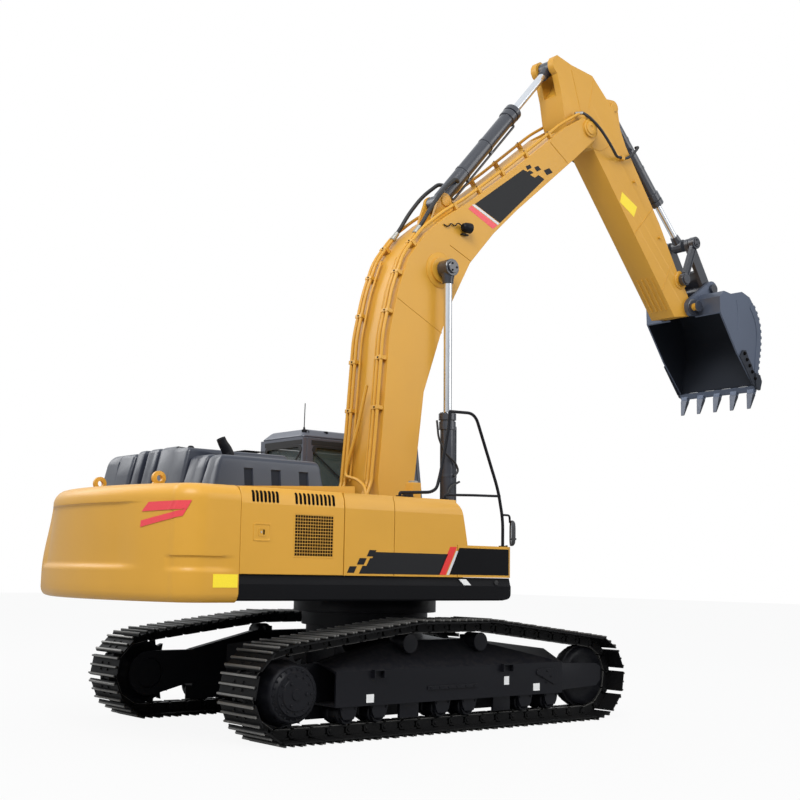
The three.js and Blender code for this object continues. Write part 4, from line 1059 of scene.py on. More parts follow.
    def sockets(self):
        """A filler neck, and the pins' ends at the feet of the boom and the lifting cylinders."""
        Piece().box(-0.02, 0.105, -0.8, -0.68, TANK_TOP, 2.51).done(
            "filler_neck", "house", "yellow_paint", edge=0.008)
        Piece().turned((0.0425, -0.74, 2.509), UP, [
            (0, 0.052), (0.018, 0.052), (0.022, 0.04), (0.022, 0)], 28).done(
            "filler_lid", "house", "fitting_steel")
        caps = Piece().pin(BOOM_FOOT, 0.092, 0.352, 0.366).pin(LIFT_BASE, 0.072, 0.566, 0.582)
        caps.plate(rect(0.06, 0.14, 1.9, 1.98), 0.352, 0.368)
        caps.mirrored().done("foot_pin_caps", "house", "black_paint")


class EXCAVATOR_OT_counterweight(bpy.types.Operator):
    """Dresses the counterweight with its recess, stripes and lifting eyes"""

    bl_idname = "excavator.counterweight"
    bl_label = "Counterweight"

    CORNER = (-2.905, 1.19, 0.3)     # centre and radius of the rear corners
    REAR = 3.43                        # radius of the rear face
    TURN = math.radians(155)            # where the rear face meets the corner
    LEVELS = ((1.268, 0.06), (1.28, 0.034), (1.296, 0.018), (1.322, 0.006), (1.35, 0.0),
              (1.42, 0.0), (1.5, 0.0), (2.195, 0.004), (2.225, 0.014), (2.25, 0.028),
              (2.275, 0.05), (2.294, 0.078), (2.306, 0.12))

    def execute(self, context):
        corner_x, corner_y, radius = self.CORNER
        start = (corner_x + radius * math.cos(self.TURN), corner_y + radius * math.sin(self.TURN))
        self.sweep = self.REAR * math.atan2(start[1], -start[0])
        self.round = self.sweep + radius * (self.TURN - math.pi / 2)
        self.end = self.round + TAIL_FRONT - corner_x
        self.body()
        self.marks()
        self.fittings()
        return {"FINISHED"}

    def plan(self, along, off=0.0):
        """A point (x, y) of the outline, by its distance from the rear's middle to the right."""
        side, s = (RIGHT if along >= 0 else LEFT), abs(along)
        corner_x, corner_y, radius = self.CORNER
        if s < self.sweep:
            turn = s / self.REAR
            return (-(self.REAR - off) * math.cos(turn), side * (self.REAR - off) * math.sin(turn))
        if s < self.round:
            turn = self.TURN - (s - self.sweep) / radius
            return (corner_x + (radius - off) * math.cos(turn),
                    side * (corner_y + (radius - off) * math.sin(turn)))
        return (corner_x + s - self.round, side * (corner_y + radius - off))

    def dish(self, along, z):
        """How deep the cast recesses are at a place: one wide behind, one small at the right."""
        def step(value, low, high):
            t = min(max((value - low) / (high - low), 0.0), 1.0)
            return t * t * (3 - 2 * t)

        wide = (step(z, 1.545, 1.6) * (1 - step(z, 2.128, 2.146))
                * step(along, -1.28, -1.1) * (1 - step(along, 0.62, 1.02)))
        small = (step(z, 1.535, 1.575) * (1 - step(z, 1.664, 1.676))
                 * step(along, 1.27, 1.34) * (1 - step(along, 1.8, 2.0)))
        taper = 0.085 * step(-along, 0.5, 1.45) * step(z, 1.5, 2.25)
        return wide * (0.03 - 0.01 * step(z, 1.6, 2.1)) + small * 0.016 + taper

    def body(self):
        """The casting, whose sides are drawn through a fine grid to model the recesses."""
        heights = [z for z, _ in self.LEVELS if z <= 1.5]
        heights += [1.515 + 0.0145 * i for i in range(13)] + [1.72 + 0.05 * i for i in range(8)]
        heights += [2.1, 2.118, 2.126, 2.132, 2.138, 2.144, 2.15, 2.16]
        heights += [z for z, _ in self.LEVELS if z > 2.17]
        marks = [self.end * (2 * i / 150 - 1) for i in range(151)]
        loops = []
        for z in heights:
            low = max((p for p in self.LEVELS if p[0] <= z), default=self.LEVELS[0])
            high = min((p for p in self.LEVELS if p[0] >= z), default=self.LEVELS[-1])
            share = (z - low[0]) / (high[0] - low[0]) if high[0] > low[0] else 0.0
            off = low[1] + (high[1] - low[1]) * share
            loops.append([(*self.plan(s, off + self.dish(s, z)), z) for s in marks])
        shape = Piece().loft(loops)
        for y in (-0.6, 0.6):
            self.eye(shape, y)
        shape.done("counterweight_casting", "house", "yellow_paint", ("counterweight",), smooth=38)

    def eye(self, shape, y):
        """A lifting eye: a ring plate on a wide foot."""
        outer, hole = (arc((-2.93, 2.385), radius, 0, 360, 20)[:-1] for radius in (0.068, 0.03))
        shape.loft([[(a, y - 0.016, b), (a, y + 0.016, b), (c, y + 0.022, d), (c, y - 0.022, d)]
                    for (a, b), (c, d) in zip(outer, hole)], ring=True)
        shape.hull([(x, y + way * w, z) for x, w, z in (
            (-3.01, 0.028, 2.29), (-2.85, 0.028, 2.29), (-2.985, 0.016, 2.345),
            (-2.875, 0.016, 2.345)) for way in (-1, 1)])

    def patch(self, corners, name, finish, steps=40):
        """A thin flat mark that follows the outline, from four (along, z) corners."""
        a, b, c, d = [Vector(p) for p in corners]
        rows = []
        for out in (-0.001, 0.0032):
            for i in range(steps + 1):
                for p in (a.lerp(b, i / steps), d.lerp(c, i / steps)):
                    rows.append((*self.plan(p.x, self.dish(p.x, p.y) - out), p.y))
        n = 2 * (steps + 1)
        faces = []
        for k in range(0, 2 * steps, 2):
            faces += [(k, k + 1, k + 3, k + 2), (n + k, n + k + 2, n + k + 3, n + k + 1),
                      (k, k + 2, n + k + 2, n + k), (k + 1, n + k + 1, n + k + 3, k + 3)]
        faces += [(0, n, n + 1, 1), (n - 2, n - 1, 2 * n - 1, 2 * n - 2)]
        Piece().add(rows, faces).done(name, "house", finish)

    def marks(self):
        """Two joined slanted bars on the right of the rear face, and a plain yellow label."""
        for name, finish, corners in (
                ("tail_bar_upper", "decal_red",
                 [(0.99, 2.052), (1.485, 2.072), (1.525, 2.148), (1.07, 2.134)]),
                ("tail_bar_lower", "decal_red",
                 [(0.98, 1.915), (1.45, 2.012), (1.484, 2.072), (0.985, 1.972)]),
                ("tail_label", "label_yellow", rect(1.745, 1.995, 1.4, 1.516))):
            self.patch(corners, name, finish)

    def fittings(self):
        shape = Piece()
        for y in (-0.42, 0.42):
            shape.turned((-2.74, y, 2.304), UP, [(0, 0.045), (0.01, 0.045), (0.012, 0.0)], 24)
        shape.done("weight_plugs", "house", "yellow_paint")


class EXCAVATOR_OT_hood(bpy.types.Operator):
    """Shapes the moulded engine hood, its ribs, grilles and exhaust"""

    bl_idname = "excavator.hood"
    bl_label = "Engine hood"

    BASE = 2.313
    BACK = -2.665
    FRONT = -1.4
    # y from, y to, top, corner radius, fall of the top towards the right
    LOBES = ((0.561, 1.15, 2.712, 0.11, 0.0), (0.354, 0.505, 2.733, 0.05, 0.0),
             (0.073, 0.285, 2.735, 0.05, 0.0), (-0.541, 0.044, 2.738, 0.06, 0.14),
             (-0.883, -0.562, 2.62, 0.07, 0.0), (-1.15, -0.904, 2.608, 0.06, 0.0))
    FLUTES = ((-2.34, -2.24), (-2.04, -1.93), (-1.72, -1.61))

    def execute(self, context):
        shape = Piece()
        for lobe in self.LOBES:
            self.lobe(shape, *lobe)
        shape.box(self.BACK + 0.11, self.FRONT - 0.05, -1.1, 1.1, self.BASE + 0.002, 2.54)
        shape.box(self.BACK + 0.18, self.FRONT - 0.09, -0.5, 1.02, 2.5, 2.672)
        shape.done("hood_shell", "hood", "hood_skin", ("engine_hood",), smooth=42)
        # Dark plates in the flutes on the right side: painted shade of the recesses
        recess = Piece()
        for x0, x1 in self.FLUTES:
            recess.loft([[(*p, z) for p in rect(x0 + 0.008, x1 - 0.008, y, y + 0.004)]
                         for y, z in ((-1.132, 2.331), (-1.111, 2.487))])
        recess.done("hood_flutes", "hood", "hood_shadow")
        self.fittings()
        self.exhaust()
        return {"FINISHED"}

    def section(self, y0, y1, top, corner, pushed=0.0):
        """Across a lobe: outer corners are rounder than those by a groove, and sides lean in."""
        outer = [abs(y) > 1.1 for y in (y0, y1)]
        radii = [corner if far else min(corner, 0.04) for far in outer]
        lean = [0.03 if far else 0.004 for far in outer]
        loop = [(y0, self.BASE), (y0 + lean[0] * 0.1, 2.326), (y0 + lean[0] * 0.1, 2.33),
                (y0 + lean[0] * 0.8, 2.488), (y0 + lean[0] * 0.8, 2.496)]
        loop += arc((y0 + lean[0] + radii[0], top - radii[0]), radii[0], 180, 90, 7)
        loop += arc((y1 - lean[1] - radii[1], top - radii[1]), radii[1], 90, 0, 7)
        loop.append((y1, self.BASE))
        return [(y + (pushed if 2.328 < z < 2.49 else 0.0), z) for y, z in loop]

    def lobe(self, shape, y0, y1, top, corner, fall):
        """One run of the hood from the leaning, rounded rear face to the front."""
        front = self.FRONT - (0.03 if y0 < -1.1 else 0.0)
        middle, back = (y0 + y1) / 2, self.BACK
        plain_loop = [(y, self.BASE + (z - self.BASE) * (1 - fall * (y1 - y)))
                      for y, z in self.section(y0, y1, top, corner)]

        def lean(z):
            rise = (z - self.BASE) / (top - self.BASE)
            past = max(0.0, rise - 0.7) / 0.3
            return 0.08 * rise + 0.06 * (1 - math.sqrt(max(0.0, 1 - past * past)))

        ends = ((0.02, 0.0), (0.85, 0.0), (0.95, 0.003), (0.985, 0.012), (1.0, 0.03))
        loops = [[(back + lean(z) + d, middle + (y - middle) * k, z) for y, z in plain_loop]
                 for k, d in ends]
        if y0 < -1.1:
            for x0, x1 in self.FLUTES:
                for x, pushed in ((x0, 0.0), (x0 + 0.008, 0.016), (x1 - 0.008, 0.016), (x1, 0.0)):
                    loops.append([(x, y, z) for y, z in self.section(y0, y1, top, corner, pushed)])
        loops += [[(front - lean(z) * 0.6 - d, middle + (y - middle) * k, z) for y, z in plain_loop]
                  for k, d in reversed(ends)]
        shape.loft(loops)

    def fittings(self):
        knobs = Piece()
        for x, y in ((-2.36, -0.18), (-1.98, -0.2), (-1.62, -0.15)):
            knobs.turned((x, y, 2.73), UP, [
                (0, 0.034), (0.012, 0.034), (0.026, 0.024), (0.03, 0.01), (0.03, 0)], 20)
        knobs.done("hood_fittings", "hood", "black_paint", edge=0.003)
        # The vents are dark slots laid on the hood's top, painted shade of their openings
        slot = item(Piece().box(-0.004, 0.004, -0.15, 0.15, -0.001, 0.003))
        vents = ROW.lay(slot, "gap_shade_and_black", Count=12, Step=(0.022, 0, 0))
        vents.transform(spot((-1.86, -0.24, 2.7375)))
        settle("hood_vents", vents, "hood", "gap_shade_and_black")

    def exhaust(self):
        """A short pipe that leans back, open at its end, with a collar on the hood."""
        y, sides, wall = -0.72, 28, 0.006
        route = [(-2.252, 2.57), (-2.258, 2.64), (-2.284, 2.695), (-2.325, 2.745),
                 (-2.352, 2.795)]
        line = [Vector((x, y, z)) for x, z in rounded(route, 0.05, 5)]
        one, last = Vector(ACROSS), len(line) - 1
        loops = []
        for thick, order in ((0.0, range(last + 1)), (wall, range(last, 3, -1))):
            for i in order:
                way = (line[min(i + 1, last)] - line[max(i - 1, 0)]).normalized()
                loops.append(hoop(line[i], one, way.cross(one), 0.06 - 0.016 * i / last - thick,
                                  sides))
        shape = Piece().loft(loops)
        shape.turned((-2.252, y, 2.606), UP, [(0, 0.08), (0.022, 0.088), (0.028, 0.062)], sides)
        shape.done("exhaust_stack", "hood", "black_paint", ("exhaust_pipe",))


class EXCAVATOR_OT_cab(bpy.types.Operator):
    """Dresses the cab's shell, windows, door, seat and fittings"""

    bl_idname = "excavator.cab"
    bl_label = "Cab"

    MIDDLE = (CAB_RIGHT + CAB_LEFT) / 2

    def execute(self, context):
        for node in ("cab_floor", "cab_rear_panel", "cab_right_panel", "cab_left_panel",
                     "cab_front_frame", "cab_door"):
            refined(node, "cab_paint", 0.01)
        refined("cab_roof", "cab_paint", 0.035, 40)
        # The right window and the door's glass are darker and more opaque than the front and rear
        # panes: painted shade of the cab's inside
        for node, finish in (("windscreen", "tinted_glass"), ("rear_window", "tinted_glass"),
                             ("right_window", "shaded_side_glass"), ("cab_door_glass", "shaded_side_glass")):
            dressed(node, finish)
        self.seals()
        self.roof()
        self.seat()
        self.console()
        self.door_fittings()
        return {"FINISHED"}

    def seal(self, outline, place, width, depth, name, body="house"):
        """A rubber strip round a window opening, as a closed ring."""
        points = [Vector(p) for p in rounded([*outline, outline[0]], 0.06, 5)[1:-1]]
        middle = sum(points, Vector((0, 0))) / len(points)
        loops = []
        for p in points:
            out = (p - middle).normalized() * width
            loops.append([place(*(p + out * way), t) for way, t in (
                (-1, -depth), (1, -depth), (1, depth), (-1, depth))])
        Piece().loft(loops, ring=True).done(name, body, "seal_rubber", smooth=50)

    def seals(self):
        self.seal(rect(0.62, 1.33, 2.24, 2.96), lambda a, b, t: (CAB_BACK + t, a, b),
                  0.022, 0.006, "rear_window_seal")
        self.seal([(-0.33, 2.15), (0.9, 2.05), (1.18, 2.05), (1.09, 2.96), (-0.33, 2.96)],
                  lambda a, b, t: (a, CAB_RIGHT + t, b), 0.022, 0.006, "right_window_seal")
        bands = Piece().box(CAB_BACK - 0.004, CAB_BACK + 0.002, 0.6, 1.35, 2.975, 3.03)
        bands.box(-0.36, 1.08, CAB_RIGHT - 0.004, CAB_RIGHT + 0.002, 2.975, 3.03)
        bands.done("window_top_bands", "house", "seal_rubber")

    def roof(self):
        """The lugs, aerial and tie ring on the roof, and its two front lamps."""
        shape, aerial, aerial_y = Piece(), -0.21, 0.95
        for x in (-0.4, -0.1):
            shape.turned((x, CAB_RIGHT + 0.09, CAB_ROOF), UP,
                         [(0, 0.03), (0.05, 0.03), (0.055, 0.02)], 20)
        shape.tube([(aerial, aerial_y, 3.14), (aerial, aerial_y, 3.22),
                    (aerial + 0.005, aerial_y, 3.5)], 0.0055, 0.02, 8)
        shape.turned((aerial, aerial_y, 3.13), UP,
                     [(0, 0.022), (0.04, 0.02), (0.09, 0.01), (0.1, 0)], 16)
        shape.tube([(x, 0.64, z) for x, z in arc((-0.38, 3.125), 0.02, 0, 360, 16)],
                   0.004, 0.004, 8, 1)
        shape.done("roof_fittings", "house", "black_paint")
        lamps, lens = Piece(), Piece()
        for y in (0.72, 1.32):
            lamps.box(1.1, 1.17, y - 0.07, y + 0.07, 3.06, 3.14)
            lens.box(1.17, 1.176, y - 0.058, y + 0.058, 3.07, 3.13)
        lamps.done("roof_lamp_bodies", "house", "black_paint", edge=0.008)
        lens.done("roof_lamp_lenses", "house", "lamp_glass", edge=0.002)

    def pad(self, x0, x1, half, z0, z1, steps=10, sides=20):
        """Sections of a crowned pad along X, drawn in towards both of its ends."""
        loops = []
        for i in range(steps + 1):
            t = i / steps
            swell = math.sin(math.pi * min(max(t, 0.06), 0.94)) ** 0.35
            loop = []
            for k in range(sides):
                c, s = math.cos(2 * math.pi * k / sides), math.sin(2 * math.pi * k / sides)
                wide = math.copysign(abs(c) ** 0.45, c) * half * (0.86 + 0.14 * swell)
                tall = math.copysign(abs(s) ** 0.55, s) * (z1 - z0) / 2 * swell
                loop.append((x0 + (x1 - x0) * t, self.MIDDLE + wide, (z0 + z1) / 2 + tall))
            loops.append(loop)
        return loops

    def seat(self):
        """The cushion, the back and the head rest, which lean back, and the plinth."""
        cushion = Piece().loft(self.pad(0.06, 0.56, 0.24, 1.965, 2.09))
        for foot, head, half, thick, x0, lean, depth in (
                (2.06, 2.6, 0.225, 0.115, 0.095, 0.36, 1.0),
                (2.6, 2.775, 0.125, 0.07, -0.055, 0.12, 0.9)):
            cushion.loft([[(x0 - (up - foot) * lean - out * depth, y, up) for up, y, out in loop]
                          for loop in self.pad(foot, head, half, 0.0, thick)])
        cushion.box(0.08, 0.48, self.MIDDLE - 0.18, self.MIDDLE + 0.18, 1.572, 1.968)
        seat = cushion.done("seat_cushions", "house", "seat_cloth", ("operator_seat",), smooth=60)

    def console(self):
        refined("control_console", "console_plastic", 0.012)
        shape = Piece()
        for y in (self.MIDDLE - 0.29, self.MIDDLE + 0.29):
            shape.tube([(0.565, y, 2.21), (0.575, y, 2.29), (0.59, y, 2.42)], 0.012, 0.03)
            shape.turned((0.586, y, 2.375), (0.1, 0, 1), [
                (0, 0.016), (0.01, 0.024), (0.05, 0.026), (0.085, 0.03), (0.095, 0.022),
                (0.098, 0)], 20)
        for y in (self.MIDDLE - 0.11, self.MIDDLE + 0.11):
            shape.tube([(0.98, y, 1.575), (0.96, y, 1.8), (0.92, y, 2.02)], 0.009, 0.05)
            shape.box(0.95, 1.05, y - 0.045, y + 0.045, 1.6, 1.615)
        shape.done("levers_and_pedals", "house", "console_plastic")
        screen = Piece().box(1.02, 1.045, 0.7, 0.86, 2.05, 2.17)
        screen.tube([(1.04, 0.78, 1.575), (1.04, 0.78, 2.06)], 0.012)
        screen.done("display_unit", "house", "console_plastic", edge=0.004)

    def door_fittings(self):
        y, out = CAB_LEFT + 0.008, CAB_LEFT + 0.025
        shape = Piece()
        shape.tube([(0.6, y, 2.04), (0.6, y + 0.045, 2.07), (0.6, y + 0.045, 2.52),
                    (0.6, y, 2.55)], 0.011, 0.03)
        shape.box(0.66, 0.8, y, y + 0.016, 1.84, 1.92)
        shape.box(0.69, 0.78, y + 0.016, y + 0.03, 1.866, 1.884)
        for z in (1.76, 2.3, 2.86):
            shape.turned((-0.248, y + 0.004, z - 0.045), UP, [(0, 0.011), (0.09, 0.011)], 16)
        shape.done("door_fittings", "cab_door_leaf", "black_paint", edge=0.002)
        Piece().tube([(1.02, CAB_LEFT, 1.75), (1.02, out, 1.78), (1.06, out, 2.5),
                      (1.06, CAB_LEFT, 2.53)], 0.011, 0.03).done(
            "cab_grab_rail", "house", "black_paint")
        self.seal([(-0.19, 2.0), (0.83, 2.0), (0.84, 2.56), (0.78, 2.92), (-0.19, 2.92)],
                  lambda a, b, t: (a, y + t, b), 0.016, 0.004, "door_glass_seal",
                  "cab_door_leaf")


class EXCAVATOR_OT_rails(bpy.types.Operator):
    """Bends the hand rails and hangs the mirror on the right front"""

    bl_idname = "excavator.rails"
    bl_label = "Rails and mirror"

    def execute(self, context):
        y, shape = -1.4, Piece()
        for radius, bend, sides, steps, route in (
                (0.0165, 0.11, 16, 8, ((-0.035, 3.214), (0.319, 3.226), (0.662, 2.441),
                                       (0.735, 2.129), (0.735, 1.848))),
                (0.0165, 0.05, 16, 8, ((-0.035, 3.214), (-0.046, 3.072), (-0.109, 2.757),
                                       (-0.16, 2.548), (-0.205, 2.405), (-0.29, 2.366),
                                       (-0.66, 2.343))),
                (0.0165, 0.03, 16, 5, ((-0.648, 2.343), (-0.686, 2.343), (-0.686, 2.304))),
                (0.0135, 0.05, 14, 5, ((-0.089, 2.302), (-0.089, 2.35), (0.3, 2.366),
                                       (0.69, 2.376))),
                (0.0115, 0.03, 12, 5, ((0.72, 2.18), (0.835, 2.18), (0.84, 2.1))),
                (0.013, 0.05, 10, 5, ((0.79, 1.86), (0.832, 1.7), (0.785, 1.53)))):
            shape.tube([(x, y, z) for x, z in route], radius, bend, sides, steps)
        for x, z in ((-0.686, 2.302), (-0.089, 2.302), (0.735, 1.8445)):
            shape.turned((x, y, z), UP, [(0, 0.042), (0.01, 0.042), (0.012, 0.02)], 24)
        shape.done("hand_rails", "house", "black_paint", ("handrail_right",), smooth=40)
        turn = math.radians(36)
        centre = Vector((0.845, y - 0.034))

        def corner(across, depth, z):
            return (centre.x + across * math.sin(turn) + depth * math.cos(turn),
                    centre.y + across * math.cos(turn) - depth * math.sin(turn), z)

        def ring(depth, shrink, sides=28):
            loop = []
            for i in range(sides):
                a = 2 * math.pi * i / sides
                c, s = math.cos(a), math.sin(a)
                flat = (abs(c) ** 3.2 + abs(s) ** 3.2) ** (-1 / 3.2)
                loop.append(corner(c * flat * (0.086 - shrink), depth,
                                   1.99 + s * flat * (0.136 - shrink)))
            return loop

        shell = Piece().loft([ring(*place) for place in (
            (-0.006, 0.014), (-0.018, 0.01), (-0.02, 0.002), (-0.004, 0.0), (0.012, 0.006),
            (0.024, 0.024), (0.03, 0.055))])
        shell.tube([corner(0.0, 0.022, 1.93), corner(0.0, 0.044, 1.93), (0.838, y, 1.93)],
                   0.01, 0.02, 8)
        shell.done("mirror_shell", "house", "console_plastic", smooth=40)
        Piece().loft([ring(-0.007, 0.013), ring(-0.0105, 0.013)]).done(
            "mirror_face", "house", "mirror_silver")
        return {"FINISHED"}


# ---- digging equipment ----------------------------------------------------------------------

BOOM_BACK = ((-0.098, 2.552), (-0.052, 3.07), (0.026, 4.192), (0.141, 4.711), (0.283, 5.108),
             (0.541, 5.446), (0.854, 5.702), (1.226, 5.956), (2.01, 6.569), (2.857, 7.27))


def off_back(lift, points=BOOM_BACK):
    """The boom's back moved outwards."""
    out = []
    for i, p in enumerate(points):
        a, b = Vector(points[max(i - 1, 0)]), Vector(points[min(i + 1, len(points) - 1)])
        along = (b - a).normalized()
        out.append((p[0] - along.y * lift, p[1] + along.x * lift))
    return out


def seams(name, body, y, routes):
    """Low weld beads laid on both side plates."""
    welds = Piece()
    for route in routes:
        for a, b in zip(route, route[1:]):
            welds.tube([(a[0], y, a[1]), (b[0], y, b[1])], 0.0054, sides=6)
    welds.mirrored().done(name, body, "yellow_paint", smooth=60)


class EXCAVATOR_OT_boom(bpy.types.Operator):
    """Dresses the boom with its pipes, clamps, pins, seams and lamp"""

    bl_idname = "excavator.boom"
    bl_label = "Boom"

    def execute(self, context):
        refined("boom", "yellow_paint", context.scene.excavator_trim.edge)
        self.pipes()
        self.bosses()
        self.lamp()
        self.band()
        return {"FINISHED"}

    def pipes(self):
        """Four lines along the boom's back, held by clamps with their bolts."""
        line = off_back(0.062)
        full = [*line, (3.19, 7.562)]
        shape = Piece()
        for side in (RIGHT, LEFT):
            for y, route, radius, sides in ((0.27, full, PIPE, 14), (0.205, line[:6], PIPE, 14),
                                            (0.1353, off_back(0.045)[:5], 0.0125, 10)):
                shape.tube([(x, side * y, z) for x, z in route], radius, 0.12, sides, 4)
        shape.done("boom_lines", "boom_body", "yellow_paint", ("boom_pipes",), smooth=50)
        clamp, heads = Piece(), []
        for i, parts in ((1, (0.25, 0.75)), (2, (0.5,)), (3, (0.5,)), (4, (0.5,)), (6, (0.5,)),
                         (7, (0.25, 0.75)), (8, (0.25, 0.75))):
            a, b = Vector(line[i]), Vector(line[i + 1])
            along = (b - a).normalized()
            lift = Vector((-along.y, along.x))
            inner, bolt_y = (0.178, 0.2375) if i < 6 else (0.243, 0.27)
            for part in parts:
                p = a.lerp(b, part)
                outline = [tuple(p + along * s + lift * h)
                           for s, h in rect(-0.022, 0.022, -0.06, 0.022)]
                top = p + lift * 0.022
                for side in (RIGHT, LEFT):
                    clamp.plate(outline, side * inner, side * 0.297)
                    heads.append(bolt_row((top.x, side * bolt_y, top.y), (lift.x, 0, lift.y),
                                          0.009))
        clamp.done("pipe_clamps", "boom_body", "yellow_paint", edge=0.004)
        bolts("clamp_bolts", "boom_body", heads)

    def bosses(self):
        """Doubling plates round the pins, weld beads, and the pins' ends with their bolts."""
        shape = Piece()
        for at, radius, y in ((BOOM_NOSE, 0.118, 0.328), (BOOM_FOOT, 0.14, 0.306)):
            shape.turned((at[0], y, at[1]), ACROSS, [
                (0, radius), (0.008, radius), (0.01, radius - 0.004), (0.01, 0.02)], 48)
        shape.turned((LIFT_EYE[0], 0.306, LIFT_EYE[1]), ACROSS, [
            (0, 0.21), (0.01, 0.21), (0.013, 0.205), (0.013, 0.02)], 48)
        shape.mirrored().done("boom_doublers", "boom_body", "yellow_paint", smooth=40)
        seams("boom_weld_seams", "boom_body", 0.3105, (
            [(0.12, 4.62), (0.8, 4.3)], [(0.91, 5.364), (1.246, 5.231)],
            [(2.6, 7.02), (2.92, 6.82)]))
        nose = Piece().pin(ARM_CYL_BASE, 0.064, 0.144, 0.16)
        nose.turned((BOOM_NOSE[0], 0.336, BOOM_NOSE[1]), ACROSS, [
            (0, 0.088), (0.014, 0.088), (0.018, 0.08), (0.018, 0.03), (0.01, 0.026),
            (0.01, 0)], 40)
        nose.mirrored().done("nose_pin_caps", "boom_body", "yellow_paint", smooth=40)
        Piece().pin(LIFT_EYE, 0.07, 0.52, 0.552).mirrored().done(
            "boom_pin_caps", "boom_body", "gloss_black")
        bolts("lift_pin_bolts", "boom_body", [
            bolt_ring((LIFT_EYE[0], side * 0.552, LIFT_EYE[1]), (0, side, 0), 0.045, 3, 0.01)
            for side in (RIGHT, LEFT)])

    def lamp(self):
        x, z, y = 1.12, 5.6, -0.31
        shape = Piece().box(x - 0.05, x + 0.05, y - 0.04, y, z - 0.085, z - 0.07)
        shape.tube([(x + 0.02, y, z), (x + 0.02, y - 0.04, z)], 0.02)
        shape.turned((x - 0.07, y - 0.062, z), AHEAD, [
            (0, 0.03), (0.012, 0.044), (0.05, 0.058), (0.12, 0.062), (0.128, 0.06),
            (0.132, 0.052)], 28)
        shape.tube([(x - back, y - out, z + up) for back, out, up in (
            (0.066, 0.05, 0.01), (0.12, 0.03, 0.05), (0.15, 0.02, -0.01),
            (0.21, 0.016, 0.03), (0.25, 0.014, -0.03), (0.32, 0.012, -0.01))],
            0.0075, 0.05, 8)
        shape.done("boom_lamp", "boom_body", "black_paint", smooth=40)
        Piece().turned((x + 0.0615, y - 0.062, z), AHEAD, [
            (0, 0.051), (0.004, 0.05), (0.01, 0.036), (0.012, 0)], 28).done(
            "boom_lamp_lens", "boom_body", "lamp_glass", smooth=60)

    def band(self):
        """A plain slanted block with stripes and three checkers on both sides of the upper boom."""
        checks = [[(2.159, 6.602), (2.234, 6.642), (2.266, 6.61), (2.19, 6.56)],
                  [(2.31, 6.62), (2.377, 6.658), (2.436, 6.622), (2.36, 6.579)],
                  [(2.481, 6.619), (2.581, 6.674), (2.645, 6.63), (2.54, 6.57)]]
        block = [(1.302, 5.94), (1.72, 5.787), (2.495, 6.508), (2.387, 6.539), (2.324, 6.49),
                 (2.235, 6.509), (2.297, 6.549), (2.235, 6.567), (2.19, 6.538), (2.115, 6.55)]
        for name, finish, outlines in (
                ("boom_band", "decal_black", [block, *checks]),
                ("boom_stripe_silver", "decal_silver",
                 [[(1.254, 5.918), (1.686, 5.756), (1.712, 5.78), (1.294, 5.936)]]),
                ("boom_stripe_red", "decal_red",
                 [[(1.196, 5.86), (1.603, 5.69), (1.68, 5.75), (1.246, 5.912)]])):
            shape = Piece()
            for outline in outlines:
                shape.plate(outline, 0.3102, 0.3118)
            shape.mirrored()
            shape.done(name, "boom_body", finish)


Ram = namedtuple("Ram", "base eye y bore wall gland base_eye rod_eye rod width hidden")


